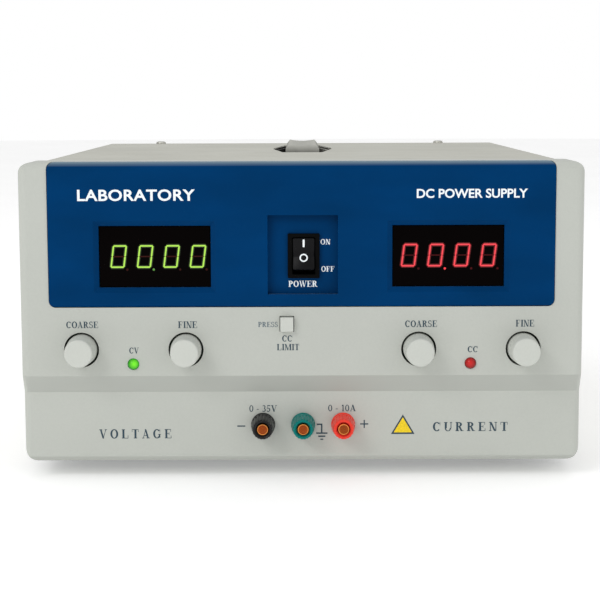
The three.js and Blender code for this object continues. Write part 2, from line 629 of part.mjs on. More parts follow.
function mainsInlet() {
  const face = REAR_PANEL_FRONT + SHEET + GAP;
  const { x, z } = INLET;
  const flange = plateXZ(roundedRectangle(x - 25, x + 25, z - 19, z + 19, 4), face, REAR_MOST - 1.2, 3)
    .add(plateXZ(roundedRectangle(x - 15.5, x + 15.5, z - 17, z + 16, 2), face, REAR_MOST, 3));
  const body = blockY(x, z, 30, 32, 345, face + 0.5);
  const mouth = polygon([
    [x - 12.2, z - 4.4], [x + 12.2, z - 4.4], [x + 12.2, z + 8], [x + 8.2, z + 12], [x - 8.2, z + 12],
    [x - 12.2, z + 8],
  ]);
  const socket = plateXZ(mouth, REAR_MOST - 17, REAR_MOST + 1);
  const pins = [[-7, 2.2], [7, 2.2], [0, 6.4]].map(([dx, dz]) =>
    blockY(x + dx, z + dz, 2, 4, REAR_MOST - 18, REAR_MOST - 5),
  );
  const drawerHole = blockY(x, z - 10.5, 24, 8, REAR_MOST - 24, REAR_MOST + 1);
  const tags = [-9, 0, 9].map((dx) => blockY(x + dx, z, 4.8, 0.8, 338, 346));
  return union([cut(union([flange, body, ...tags]), [socket, drawerHole]), ...pins]);
}

function fuseDrawer() {
  const { x, z } = INLET;
  const face = blockY(x, z - 10.5, 23.2, 7.2, REAR_MOST - 2, REAR_MOST - 0.2);
  const tray = blockY(x, z - 10.5, 21, 6.2, REAR_MOST - 23, REAR_MOST - 1.5);
  const fuseSlot = box([x - 8.5, x + 8.5], [REAR_MOST - 22, REAR_MOST - 4], [z - 10.6, z - 5]);
  return face.add(tray).subtract(fuseSlot);
}

function controlBoard() {
  const z = FLOOR_TOP + 12;
  const plate = box([-112, 112], [46, 168], [z, z + 1.6]);
  const standoffs = [-100, 100].flatMap((x) =>
    [56, 158].map((y) => rodZ(x, y, 3, FLOOR_TOP + GAP, z + 0.5, 8)),
  );
  return union([plate, ...standoffs]);
}

function filterCapacitor() {
  const z = FLOOR_TOP + 13.6 + GAP;
  const can = turnedZ([[0, z], [25, z], [25, z + 78], [23.5, z + 80], [0, z + 80]], 24);
  return can.translate([-60, 108, 0]);
}

function bridgeRectifier() {
  const z = FLOOR_TOP + 13.6 + GAP;
  const block = box([20, 48.5], [90, 118.5], [z, z + 10]);
  const tags = [[24, 94], [44.5, 94], [24, 114.5], [44.5, 114.5]].map(([x, y]) =>
    box([x - 3, x + 3], [y - 0.4, y + 0.4], [z + 9, z + 18]),
  );
  return cut(union([block, ...tags]), [rodZ(34.25, 104.25, 2.3, z - 1, z + 11, 12)]);
}

// The main loom: from the inlet along the chassis floor to the control board, with a branch to the
// winding.
function wiringLoom() {
  const trunk = tube([
    [-85, 336, 40], [-70, 326, 26], [-30, 318, 19], [2, 296, 18], [4, 250, 18], [4, 196, 20],
    [8, 180, 29], [14, 162, 32], [22, 148, 32],
  ], 3.4, 26);
  const branch = tube([
    [4, 200, 20], [0, 188, 28], [-14, 179, 44], [-34, 180, 53], [-50, 189, 54],
  ], 2.4, 14);
  return trunk.add(branch);
}

// ---------------------------------------------------------------- assembly
const model = new THREE.Group();
model.position.y = -(REAR_MOST - KNOB_PROTRUSION) / 2;

function add(name, made, look, place = [0, 0, 0]) {
  const mesh = meshOf(name, made, look);
  mesh.position.set(...place);
  model.add(mesh);
  return mesh;
}

add("front_bezel", frontBezel(), bezelGrey);
add("display_fascia", displayFascia(), fasciaBlue);
add("front_subpanel", frontSubpanel(), zincSteel);
add("top_cover", topCover(), coverGrey);
add("base_chassis", baseChassis(), zincSteel);
add("rear_panel", rearPanel(), coverGrey);
for (const [end, y] of [["front", 58], ["rear", 335]]) {
  for (const [name, side] of sides) add(`foot_${end}_${name}`, foot(), rubber, [side * 104, y, 0]);
}
for (const [name] of sides) {
  add(`cover_screw_${name}`, coverScrew(), nickel, [COVER_SCREWS[name], COVER_SCREWS.y, COVER_TOP]);
}

add("handle_well", handleWell(), blackPlastic, [HANDLE_X, 0, 0]);
add("handle_grip", handleGrip(), gripGrey, [HANDLE_X, 0, 0]);

for (const [name, x] of knobPlaces) {
  const control = new THREE.Group();
  control.position.set(x, 0, KNOB_Z);
  control.add(
    meshOf(`knob_${name}`, knob(), knobGrey),
    meshOf(`pot_shaft_${name}`, potShaft(), nickel),
    meshOf(`pot_body_${name}`, potBody(), zincSteel),
  );
  model.add(control);
}

add("power_switch_housing", switchHousing(), blackPlastic);
const pivot = [ROCKER_SWITCH.x, ROCKER_PIVOT_Y, ROCKER_SWITCH.z];
const rockerMesh = add("power_rocker", rocker(), blackPlastic, pivot);
rockerMesh.rotation.x = -ROCKER_TILT;
add("limit_button", limitButton(), knobGrey, [BUTTON.x, 0, BUTTON.z]);
add("limit_switch_body", blockY(BUTTON.x, BUTTON.z, 7, 7, 11.2, FRONT_BOARD - GAP), blackPlastic);
add("front_board", frontBoard(), boardGreen);

for (const [name, side, lens] of [["voltage", -1, greenLens], ["current", 1, redLens]]) {
  const { x, z, width, height } = WINDOW;
  const pane = blockY(side * x, z, width - 2 * GAP, height - 2 * GAP, 1.2, FASCIA_BACK + 0.2);
  const digits = blockY(side * x, z, 50.4, 19, 5.6, FRONT_BOARD - GAP);
  add(`display_window_${name}`, pane, smokedWindow);
  add(`display_module_${name}`, digits, moduleBlack);
  add(`led_${name}`, led(), lens, [side * LED.x, 0, LED.z]);
}

for (const [name, x] of postPlaces) {
  const post = new THREE.Group();
  post.position.set(x, 0, POST_Z);
  post.add(
    meshOf(`post_base_${name}`, postBase(), postColours[name]),
    meshOf(`post_stud_${name}`, postStud(), brass),
    meshOf(`post_washer_${name}`, postWasher(), brass),
    meshOf(`post_cap_${name}`, postCap(), postColours[name]),
  );
  model.add(post);
}

add("transformer_core", transformerCore(), laminations);
add("transformer_winding", transformerWinding(), copperWinding);
add("heat_sink", heatSink(), aluminium);
add("fan_frame", fanFrame(), blackPlastic);
add("fan_rotor", fanRotor(), blackPlastic, [FAN.x, 0, FAN.z]);
add("mains_inlet", mainsInlet(), blackPlastic);
add("fuse_drawer", fuseDrawer(), blackPlastic);
add("control_board", controlBoard(), boardGreen);
add("filter_capacitor", filterCapacitor(), capacitorSleeve);
add("bridge_rectifier", bridgeRectifier(), blackPlastic);
add("wiring_loom", wiringLoom(), loomSleeve);

export default model;
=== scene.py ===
"""The looks of the bench power supply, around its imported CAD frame.

Materials for the CAD pieces, turned and moulded pieces in place of the plain ones, the printed labels,
the lit readings and the small screws, then the camera, the lights and the floor.
"""

import math

import bmesh
import bpy
from mathutils import Matrix, Vector
from mathutils.geometry import delaunay_2d_cdt


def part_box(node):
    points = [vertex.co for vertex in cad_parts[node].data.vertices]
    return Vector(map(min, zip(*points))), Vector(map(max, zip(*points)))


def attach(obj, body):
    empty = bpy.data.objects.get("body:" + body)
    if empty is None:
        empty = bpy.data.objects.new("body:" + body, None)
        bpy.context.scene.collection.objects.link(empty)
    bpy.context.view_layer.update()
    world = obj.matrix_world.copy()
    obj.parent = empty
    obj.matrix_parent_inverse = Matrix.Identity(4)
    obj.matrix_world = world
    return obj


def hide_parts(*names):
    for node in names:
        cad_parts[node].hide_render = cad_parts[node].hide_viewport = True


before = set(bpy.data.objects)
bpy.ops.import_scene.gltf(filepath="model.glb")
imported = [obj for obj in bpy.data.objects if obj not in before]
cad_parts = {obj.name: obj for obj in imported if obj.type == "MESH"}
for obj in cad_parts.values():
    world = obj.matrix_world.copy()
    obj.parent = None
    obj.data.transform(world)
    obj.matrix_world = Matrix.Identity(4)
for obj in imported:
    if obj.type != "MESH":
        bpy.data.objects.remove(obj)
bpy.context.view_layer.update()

MM = 0.001
CASE = "case"
BEZEL_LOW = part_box("front_bezel")[0]
COVER_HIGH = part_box("top_cover")[1]
REAR_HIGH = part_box("rear_panel")[1]


def at(x, y, z):
    """A point in metres from millimetres: y behind the upper front face, z above the bezel's bottom edge."""
    return Vector((x * MM, BEZEL_LOW.y + y * MM, BEZEL_LOW.z + z * MM))


def centre_of(node):
    low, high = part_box(node)
    return (low + high) / 2


# ---------------------------------------------------------------- materials
def linear(rgb):
    """The linear colour of an sRGB colour given from 0 to 255."""
    out = []
    for value in rgb:
        c = value / 255
        out.append(c / 12.92 if c <= 0.04045 else ((c + 0.055) / 1.055) ** 2.4)
    return (*out, 1.0)


class Shader:
    """A node material whose patterns are laid out in millimetres of the part's own frame."""

    def __init__(self, name):
        self.material = bpy.data.materials.new(name)
        self.material.use_nodes = True
        self.tree = self.material.node_tree
        self.bsdf = self.tree.nodes["Principled BSDF"]
        self.place = self.node("ShaderNodeTexCoord").outputs["Object"]

    def node(self, kind, inputs=None, **settings):
        made = self.tree.nodes.new(kind)
        for key, value in settings.items():
            setattr(made, key, value)
        for key, value in (inputs or {}).items():
            self.put(made.inputs[key], value)
        return made

    def put(self, socket, value):
        if isinstance(value, bpy.types.NodeSocket):
            self.tree.links.new(value, socket)
        else:
            socket.default_value = value

    def stretched(self, stretch):
        mapping = self.node("ShaderNodeMapping", {"Vector": self.place, "Scale": stretch})
        return mapping.outputs["Vector"]

    def noise(self, size, detail=2.0, stretch=None, roughness=0.5):
        place = self.stretched(stretch) if stretch else self.place
        inputs = {"Vector": place, "Scale": 1 / (size * MM), "Detail": detail, "Roughness": roughness}
        return self.node("ShaderNodeTexNoise", inputs).outputs["Fac"]

    def cells(self, size):
        inputs = {"Vector": self.place, "Scale": 1 / (size * MM)}
        return self.node("ShaderNodeTexVoronoi", inputs).outputs["Distance"]

    def remap(self, value, low, high, to_low, to_high):
        inputs = {"Value": value, "From Min": low, "From Max": high, "To Min": to_low, "To Max": to_high}
        return self.node("ShaderNodeMapRange", inputs).outputs["Result"]

    def math(self, operation, a, b):
        return self.node("ShaderNodeMath", {0: a, 1: b}, operation=operation).outputs["Value"]

    def mix(self, factor, a, b):
        made = self.node("ShaderNodeMix", data_type="RGBA")
        for index, value in ((0, factor), (6, a), (7, b)):
            self.put(made.inputs[index], value)
        return made.outputs[2]

    def edges(self, radius):
        """1 on rounded outer edges and 0 on open faces."""
        rounded = self.node("ShaderNodeBevel", {"Radius": radius * MM}, samples=4).outputs["Normal"]
        true = self.node("ShaderNodeNewGeometry").outputs["Normal"]
        facing = self.node("ShaderNodeVectorMath", {0: rounded, 1: true}, operation="DOT_PRODUCT")
        return self.remap(facing.outputs["Value"], 0.97, 0.80, 0.0, 1.0)

    def coordinate(self, axis):
        return self.node("ShaderNodeSeparateXYZ", {"Vector": self.place}).outputs[axis]

    def bump(self, height, depth, strength=1.0):
        inputs = {"Height": height, "Distance": depth * MM, "Strength": strength}
        self.put(self.bsdf.inputs["Normal"], self.node("ShaderNodeBump", inputs).outputs["Normal"])

    def set(self, **values):
        for key, value in values.items():
            self.put(self.bsdf.inputs[key.replace("_", " ")], value)
        return self


def tinted(rgb, amount):
    return tuple(min(255, max(0, c * (1 + amount))) for c in rgb)


def moulded(name, rgb, rough, grain=0.5, depth=0.012, mottle=0.03, spread=0.06, specular=0.4,
            wear_and_highlight=0.0, painted_underside_shade=0.0):
    """A surface with broad and fine tone, uneven gloss and a fine grain.

    Its outer edges are paler, partly from edge wear and partly as a painted highlight, and its faces that
    look downward are darker with painted shade.
    """
    s = Shader(name)
    broad = s.noise(45, 4)
    fine = s.noise(1.1, 2)
    tone = s.math("ADD", s.math("MULTIPLY", broad, 0.6), s.math("MULTIPLY", fine, 0.4))
    tone = s.remap(tone, 0.35, 0.65, 0.0, 1.0)
    colour = s.mix(tone, linear(tinted(rgb, -mottle)), linear(tinted(rgb, mottle)))
    # Paler outer edges: partly edge wear, partly a painted highlight on the rounded edges.
    if wear_and_highlight:
        patchy = s.remap(s.noise(6, 3), 0.4, 0.65, 0.2, 1.0)
        wear_and_highlight_mask = s.math("MULTIPLY", s.math("MULTIPLY", s.edges(0.5), patchy), wear_and_highlight)
        colour = s.mix(wear_and_highlight_mask, colour, linear(tinted(rgb, 0.18)))
    # Painted shade: faces that look downward, such as the bezel's sloping band, are darkened.
    if painted_underside_shade:
        normal = s.node("ShaderNodeNewGeometry").outputs["Normal"]
        down = s.node("ShaderNodeSeparateXYZ", {"Vector": normal}).outputs["Z"]
        colour = s.mix(s.remap(down, -0.42, -0.25, 1.0, 0.0), colour, linear(tinted(rgb, -painted_underside_shade)))
    gloss = s.remap(s.noise(14, 6, roughness=0.6), 0.3, 0.7, rough - spread, rough + spread)
    s.set(Base_Color=colour, Roughness=gloss, Specular_IOR_Level=specular)
    s.bump(s.noise(grain, 1), depth)
    return s.material


def powder_coat(name, rgb):
    """Stoved paint on sheet steel: fine orange peel, faint dust, and paler edges that are partly edge wear
    and partly a painted highlight.
    """
    s = Shader(name)
    tone = s.remap(s.noise(70, 5), 0.35, 0.65, 0.0, 1.0)
    specks = s.remap(s.cells(1.4), 0.0, 0.35, 0.25, 0.0)
    colour = s.mix(tone, linear(tinted(rgb, -0.02)), linear(tinted(rgb, 0.02)))
    colour = s.mix(specks, colour, linear(tinted(rgb, -0.10)))
    # Paler edges: partly edge wear, partly a painted highlight.
    colour = s.mix(s.math("MULTIPLY", s.edges(0.6), 0.5), colour, linear(tinted(rgb, 0.08)))
    gloss = s.remap(s.noise(20, 5), 0.3, 0.7, 0.48, 0.62)
    s.set(Base_Color=colour, Roughness=gloss, Specular_IOR_Level=0.35)
    s.bump(s.math("ADD", s.noise(1.3, 2), s.math("MULTIPLY", s.noise(0.35, 1), 0.4)), 0.03)
    return s.material


def glossy_panel(name, rgb):
    """Gloss-moulded panel with faint flow marks and finger haze, a painted highlight along its rounded edges,
    and a painted reflection of the top light where its top edge turns upward.
    """
    s = Shader(name)
    flow = s.remap(s.noise(60, 3, (1, 1, 2.5)), 0.35, 0.65, 0.0, 1.0)
    colour = s.mix(flow, linear(tinted(rgb, -0.05)), linear(tinted(rgb, 0.06)))
    haze = s.remap(s.noise(9, 5, roughness=0.7), 0.35, 0.75, 0.20, 0.34)
    # Painted highlight along the rounded edges.
    edge = s.math("MULTIPLY", s.edges(0.4), 0.35)
    colour = s.mix(edge, colour, linear(tinted(rgb, 0.45)))
    # Painted reflection of the top light on faces that turn upward, strong at the top edge and faint lower
    # down.
    normal = s.node("ShaderNodeNewGeometry").outputs["Normal"]
    upward = s.node("ShaderNodeSeparateXYZ", {"Vector": normal}).outputs["Z"]
    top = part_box("display_fascia")[1].z
    top_edge = s.remap(s.coordinate("Z"), top - 7.2 * MM, top - 3.2 * MM, 0.12, 0.75)
    upward = s.remap(upward, 0.55, 0.98, 0.0, 1.0)
    colour = s.mix(s.math("MULTIPLY", upward, top_edge), colour, linear((128, 150, 160)))
    s.set(Base_Color=colour, Roughness=haze, Specular_IOR_Level=0.02)
    s.bump(s.math("ADD", s.noise(5, 2), s.math("MULTIPLY", s.noise(0.5, 1), 0.25)), 0.02)
    return s.material


def metal(name, rgb, rough, stretch=(1, 30, 1), tarnish=0.12):
    """Metal brushed along the axes that stretch doesn't shorten, with faint stains."""
    s = Shader(name)
    brushed = s.noise(2.0, 3, stretch)
    stain = s.remap(s.noise(8, 4), 0.35, 0.7, 0, 1)
    colour = s.mix(stain, linear(rgb), linear(tinted(rgb, -tarnish)))
    gloss = s.remap(brushed, 0.3, 0.7, rough - 0.08, rough + 0.12)
    s.set(Base_Color=colour, Metallic=1.0, Roughness=gloss)
    s.bump(brushed, 0.01)
    return s.material


def ink(name, rgb):
    """Screen-printed ink, a little thin and uneven."""
    s = Shader(name)
    thin = s.remap(s.noise(0.7, 3), 0.35, 0.7, 0.0, 1.0)
    colour = s.mix(thin, linear(rgb), linear(tinted(rgb, 0.12)))
    s.set(Base_Color=colour, Roughness=0.6, Specular_IOR_Level=0.2)
    s.bump(s.noise(0.3, 1), 0.01)
    return s.material


def glowing(name, rgb, rim_rgb, strength, core=None, reach=2.6):
    """A lit lens or display bar, or a painted glow on a part that is no lamp: brightest at its middle, or
    mottled where no middle is given.
    """
    s = Shader(name)
    fade = s.remap(s.noise(0.8, 2), 0.3, 0.7, 0.0, 0.3)
    if core:
        offset = s.node("ShaderNodeVectorMath", {0: s.place, 1: core}, operation="DISTANCE")
        fade = s.remap(offset.outputs["Value"], 0.5 * MM, reach * MM, 0.0, 1.0)
    colour = s.mix(fade, linear(rgb), linear(rim_rgb))
    gloss = s.remap(s.noise(0.5, 1), 0.3, 0.7, 0.2, 0.32)
    s.set(Base_Color=linear(tinted(rim_rgb, -0.5)), Roughness=gloss, Specular_IOR_Level=0.3,
          Emission_Color=colour, Emission_Strength=strength)
    return s.material


WAVE_SCALE = 0.159  # the wave texture's scale for one stripe per unit of length


def striped(name, rgb_a, rgb_b, pitch, axis, rough, is_metal=0.0):
    """Parallel layers, such as laminations or a winding."""
    s = Shader(name)
    scale = WAVE_SCALE / (pitch * MM)
    inputs = {"Vector": s.place, "Scale": scale, "Distortion": 1.2, "Detail": 2.0}
    bands = s.node("ShaderNodeTexWave", inputs, bands_direction=axis)
    colour = s.mix(bands.outputs["Fac"], linear(rgb_a), linear(rgb_b))
    gloss = s.remap(s.noise(3, 3), 0.3, 0.7, rough - 0.1, rough + 0.1)
    s.set(Base_Color=colour, Roughness=gloss, Metallic=is_metal)
    s.bump(bands.outputs["Fac"], 0.15)
    return s.material


def circuit_board(name):
    """Green solder mask over copper tracks, with tinned pads."""
    s = Shader(name)
    inputs = {"Vector": s.place, "Scale": 120.0, "Mortar Size": 0.06, "Color1": linear((18, 72, 42)),
              "Color2": linear((22, 84, 48)), "Mortar": linear((52, 120, 66))}
    tracks = s.node("ShaderNodeTexBrick", inputs)
    pads = s.remap(s.cells(3.4), 0.16, 0.12, 0.0, 1.0)
    tinned = linear((176, 176, 168))
    s.set(Base_Color=s.mix(pads, tracks.outputs["Color"], tinned), Roughness=0.42)
    s.bump(s.math("ADD", tracks.outputs["Fac"], pads), 0.04)
    return s.material


BEZEL_RGB = (185, 188, 181)
BLUE_RGB = (0, 52, 98)
COVER_RGB = (186, 186, 176)
KNOB_RGB = (196, 199, 192)

# Each binding post's plastic: name, colour, roughness, mottle, specular level, and paler edges from wear and
# painted highlight.
POSTS = {
    "negative": ("post_black", (26, 25, 26), 0.32, 0.08, 0.2, 0.7),
    "earth": ("post_green", (4, 114, 108), 0.3, 0.05, 0.1, 0.5),
    "positive": ("post_red", (230, 62, 48), 0.3, 0.05, 0.12, 0.5),
}

LOOKS = {
    # The bezel: painted shade on its downward faces, and paler edges from wear and painted highlight.
    "bezel": moulded("bezel_plastic", BEZEL_RGB, 0.5, grain=0.45, depth=0.014, mottle=0.012, wear_and_highlight=0.35,
                     painted_underside_shade=0.06),
    "fascia": glossy_panel("fascia_plastic_painted_sheen", BLUE_RGB),
    "cover": powder_coat("cover_paint", COVER_RGB),
    "zinc": metal("zinc_plate", (168, 171, 170), 0.42, (1, 1, 8), 0.2),
    "nickel": metal("nickel_plate", (205, 204, 196), 0.3, (6, 6, 1)),
    "rubber": moulded("foot_rubber", (30, 30, 31), 0.8, grain=0.3, depth=0.04, mottle=0.2, specular=0.25),
    "knob": moulded("knob_plastic", KNOB_RGB, 0.42, grain=0.3, depth=0.008, mottle=0.012, wear_and_highlight=0.3),
    "black": moulded("black_plastic", (15, 15, 16), 0.42, grain=0.35, depth=0.02, mottle=0.15,
                     specular=0.2, wear_and_highlight=0.5),
    "housing": moulded("housing_plastic", (9, 9, 9), 0.45, grain=0.35, depth=0.02, mottle=0.15,
                       specular=0.03, wear_and_highlight=0.5),
    "rocker": moulded("rocker_plastic", (12, 12, 14), 0.36, grain=0.6, depth=0.02, mottle=0.12,
                      specular=0.12, wear_and_highlight=1.0),
    "window": moulded("window_acrylic", (3, 1, 1), 0.12, grain=4, depth=0.004, mottle=0.1, spread=0.03,
                      specular=0.02),
    "module": moulded("module_epoxy", (24, 20, 22), 0.6, grain=0.4, depth=0.02, mottle=0.15),
    "board": circuit_board("board_mask"),
    "brass": metal("turned_brass", (232, 150, 78), 0.3, (1, 12, 1), 0.25),
    # The socket lining glows though it is no lamp: a painted glow in brass colour inside the bore.
    "socket": glowing("socket_painted_glow", (206, 104, 50), (120, 50, 20), 0.42),
    "laminations": striped("lamination_steel", (74, 76, 80), (44, 45, 48), 0.5, "Y", 0.55, 0.6),
    "copper": striped("winding_copper", (178, 96, 46), (120, 58, 26), 0.9, "Z", 0.45, 0.5),
    "aluminium": metal("sink_aluminium", (186, 188, 190), 0.42, (1, 0.05, 1), 0.08),
    "sleeve": moulded("capacitor_sleeve", (36, 42, 62), 0.34, grain=1.5, depth=0.02, mottle=0.08),
    "loom": striped("loom_sleeve", (48, 48, 50), (22, 22, 24), 1.6, "Y", 0.7),
    "dark_ink": ink("label_ink_slate", (50, 68, 79)),
    "faint_ink": ink("label_ink_grey", (88, 102, 110)),
    "white_ink": ink("label_ink_white", (228, 238, 242)),
    "yellow_ink": ink("label_ink_yellow", (224, 194, 38)),
}
for pole, (name, rgb, rough, mottle, specular, wear_and_highlight) in POSTS.items():
    LOOKS[f"post_{pole}"] = moulded(name, rgb, rough, depth=0.006, mottle=mottle, specular=specular,
                                    wear_and_highlight=wear_and_highlight)


def shadowed_well():
    """The well's moulding as lit and shaded copies: painted shade makes its left half near black, and its
    right half is painted a lit grey like the case's.
    """
    s = Shader("well_painted_shade")
    # Painted shade and light: near black on the left half, a paler lit grey on the right half.
    side = s.remap(s.coordinate("X"), -2 * MM, 2 * MM, 0.0, 1.0)
    grain = s.remap(s.noise(1.0, 3), 0.3, 0.7, 0.0, 0.25)
    dark = s.mix(grain, linear((14, 14, 14)), linear((26, 26, 26)))
    light = s.mix(grain, linear((150, 150, 142)), linear((168, 168, 160)))
    s.set(Base_Color=s.mix(side, dark, light), Roughness=s.remap(s.noise(9, 3), 0.3, 0.7, 0.5, 0.68))
    s.bump(s.noise(0.6, 2), 0.03)
    return s.material


LOOKS["well"] = shadowed_well()


def shaded_grip():
    """Grained moulding with painted shade: paler at its top and darker below the rim."""
    s = Shader("grip_painted_shade")
    # Painted shade: darker towards the bottom, with a little noise in where the fade starts.
    height = s.math("ADD", s.coordinate("Z"), s.math("MULTIPLY", s.noise(4, 3), 1.2 * MM))
    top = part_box("handle_grip")[1].z
    low, high = linear((104, 104, 98)), linear((178, 178, 170))
    colour = s.mix(s.remap(height, top - 3.8 * MM, top + 0.6 * MM, 0.0, 1.0), low, high)
    s.set(Base_Color=colour, Roughness=s.remap(s.noise(7, 4), 0.3, 0.7, 0.5, 0.68), Specular_IOR_Level=0.3)
    s.bump(s.noise(0.8, 2), 0.05)
    return s.material


LOOKS["grip"] = shaded_grip()


# ---------------------------------------------------------------- pieces
# Pieces with many slots: their flat faces stay as triangles and their edges stay as they are.
PIERCED = {"top_cover", "rear_panel", "base_chassis", "fuse_drawer"}
EDGE_ANGLE = 32  # edges that turn by more than this, in degrees, are rounded
BAND_ANGLE = 26  # the same for the bezel, so that both edges of its sloping band are rounded too


def dress(node, look, bevel, segments, angle):
    """Gives a CAD node its material, with softly rounded edges."""
    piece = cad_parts[node]
    piece.data.materials.clear()
    piece.data.materials.append(LOOKS[look])
    piece.data.polygons.foreach_set("use_smooth", [True] * len(piece.data.polygons))
    piece.data.set_sharp_from_angle(angle=math.radians(30) if node in PIERCED else math.pi)
    weld = piece.modifiers.new("weld", "WELD")
    weld.merge_threshold = 2e-6
    if node not in PIERCED:
        flat = piece.modifiers.new("flatten", "DECIMATE")
        flat.decimate_type = "DISSOLVE"
        flat.angle_limit = math.radians(0.6)
    if bevel and node not in PIERCED:
        rounding = piece.modifiers.new("rounding", "BEVEL")
        rounding.limit_method = "ANGLE"
        rounding.angle_limit = math.radians(angle)
        rounding.width = bevel * MM
        rounding.segments = segments
        rounding.use_clamp_overlap = True
        rounding.miter_outer = "MITER_ARC"
    normals = piece.modifiers.new("normals", "WEIGHTED_NORMAL")
    normals.keep_sharp = node in PIERCED
    normals.weight = 80


def piece_from(name, bm, look, body=CASE, replaces=(), smooth=35):
    """Makes a named piece that rides on a body, with edges sharper than smooth degrees left crisp."""
    bmesh.ops.remove_doubles(bm, verts=bm.verts, dist=1e-7)
    bmesh.ops.recalc_face_normals(bm, faces=bm.faces)
    mesh = bpy.data.meshes.new(name)
    bm.to_mesh(mesh)
    bm.free()
    mesh.polygons.foreach_set("use_smooth", [True] * len(mesh.polygons))
    mesh.set_sharp_from_angle(angle=math.radians(smooth))
    mesh.materials.append(LOOKS[look])
    made = bpy.data.objects.new(name, mesh)
    bpy.context.scene.collection.objects.link(made)
    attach(made, body)
    if replaces:
        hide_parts(*replaces)
    return made


AXES = {
    "Y": Matrix(((1, 0, 0), (0, 0, 1), (0, 1, 0))).to_4x4(),
    "Z": Matrix.Identity(4),
}


def lathe(bm, profile, origin, axis="Y", sides=96, ripple=None):
    """Turns [radius, along] pairs in millimetres about an axis through origin; radius 0 closes an end."""
    rings = []
    for index, (radius, along) in enumerate(profile):
        ring = []
        for k in range(1 if radius == 0 else sides):
            a = 2 * math.pi * k / sides
            r = radius * (ripple(a, index) if ripple else 1)
            point = AXES[axis] @ Vector((r * math.cos(a) * MM, r * math.sin(a) * MM, along * MM))
            ring.append(bm.verts.new(Vector(origin) + point))
        rings.append(ring)
    closed = profile[0] == profile[-1]
    if closed:
        rings[-1] = rings[0]
    for low, high in zip(rings, rings[1:]):
        for k in range(sides):
            n = (k + 1) % sides
            corners = [low[k % len(low)], low[n % len(low)], high[n % len(high)], high[k % len(high)]]
            corners = [v for i, v in enumerate(corners) if v not in corners[:i]]
            if len(corners) > 2:
                bm.faces.new(corners)
    return rings


def rounded(profile, radius, steps=4):
    """The profile with each inner corner replaced by a small arc."""
    out = [profile[0]]
    for before, corner, after in zip(profile, profile[1:], profile[2:]):
        b, c, a = (Vector(p) for p in (before, corner, after))
        reach = min(radius, (b - c).length * 0.45, (a - c).length * 0.45)
        start = c + (b - c).normalized() * reach
        end = c + (a - c).normalized() * reach
        for i in range(steps + 1):
            t = i / steps
            p = start * (1 - t) ** 2 + c * 2 * t * (1 - t) + end * t**2
            out.append((p.x, p.y))
    out.append(profile[-1])
    return out


def bar(bm, corners, y0, y1):
    """A prism whose outline is given in X-Z, in millimetres, between two depths."""
    front = [bm.verts.new(at(x, y0, z)) for x, z in corners]
    back = [bm.verts.new(at(x, y1, z)) for x, z in corners]
    bm.faces.new(front)
    bm.faces.new(back[::-1])
    for i in range(len(corners)):
        n = (i + 1) % len(corners)
        bm.faces.new([front[i], back[i], back[n], front[n]])


def block(bm, x0, x1, y0, y1, z0, z1):
    bar(bm, [(x0, z0), (x1, z0), (x1, z1), (x0, z1)], y0, y1)


# CAD nodes that keep their shape: node, look, rounding in millimetres and its segments
DRESSED = [
    ("front_bezel", "bezel", 0.35, 3),
    ("display_fascia", "fascia", 0.6, 4),
    ("top_cover", "cover", 0.3, 2),
    ("rear_panel", "cover", 0.2, 1),
    ("base_chassis", "zinc", 0.2, 1),
    ("front_subpanel", "zinc", 0.2, 1),
    ("handle_well", "well", 0.4, 2),
    ("handle_grip", "grip", 0.7, 3),
    ("power_switch_housing", "housing", 0.4, 3),
    ("limit_button", "knob", 0.35, 3),
    ("limit_switch_body", "black", 0.2, 1),
    ("front_board", "board", 0.1, 1),
    ("display_window_voltage", "window", 0.2, 1),
    ("display_window_current", "window", 0.2, 1),
    ("display_module_voltage", "module", 0.2, 1),
    ("display_module_current", "module", 0.2, 1),
    ("transformer_core", "laminations", 0.4, 1),
    ("transformer_winding", "copper", 0.8, 2),
    ("heat_sink", "aluminium", 0.2, 1),
    ("fan_frame", "black", 0.4, 1),
    ("fan_rotor", "black", 0.2, 1),
    ("mains_inlet", "black", 0.35, 2),
    ("fuse_drawer", "black", 0.3, 2),
    ("control_board", "board", 0.1, 1),
    ("filter_capacitor", "sleeve", 0.6, 2),
    ("bridge_rectifier", "black", 0.4, 2),
    ("wiring_loom", "loom", 0, 1),
]
CONTROLS = ("voltage_coarse", "voltage_fine", "current_coarse", "current_fine")
for control in CONTROLS:
    DRESSED.append((f"pot_body_{control}", "zinc", 0.2, 1))
    DRESSED.append((f"pot_shaft_{control}", "nickel", 0.2, 1))
for node, look, bevel, segments in DRESSED:
    dress(node, look, bevel, segments, BAND_ANGLE if node == "front_bezel" else EDGE_ANGLE)


# ---------------------------------------------------------------- knobs
KNOB_BORE = 3.3  # clears the shaft
KNOB_BOSS = -8  # how far forward the bore reaches
KNOB_FACE = 6.62  # radius where the tapered grip meets the rounded face


def knob(control):
    """A tapered knob with a slightly domed face and a bore for its shaft."""
    node = f"knob_{control}"
    low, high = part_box(node)
    middle = (low + high) / 2
    front = (low.y - BEZEL_LOW.y) / MM
    base = (high.x - low.x) / 2 / MM
    rear = (high.y - BEZEL_LOW.y) / MM
    body = [(base, rear), (base, 0.2), (KNOB_FACE, front + 0.7), (KNOB_FACE - 0.52, front + 0.12),
            (4.5, front + 0.03), (0, front)]
    inner = [(0, KNOB_BOSS), (KNOB_BORE, KNOB_BOSS), (KNOB_BORE, rear)]
    profile = inner + rounded([inner[-1]] + body, 0.5)[1:]
    bm = bmesh.new()
    lathe(bm, profile, (middle.x, BEZEL_LOW.y, middle.z))
    return piece_from(f"{node}_turned", bm, "knob", f"{node}_body", [node], 30)


for control in CONTROLS:
    knob(control)


# ---------------------------------------------------------------- binding posts
RIBS = 20
RIB_DEPTH = 0.055  # as a share of the cap's radius
CAP_BORE, BASE_BORE = 3.1, 3.1
STUD_RADIUS, THREAD_ROOT, THREAD_PITCH, THREAD_STEPS = 2.7, 2.45, 0.7, 26
SOCKET_RADIUS, SOCKET_DEPTH = 2.0, 12


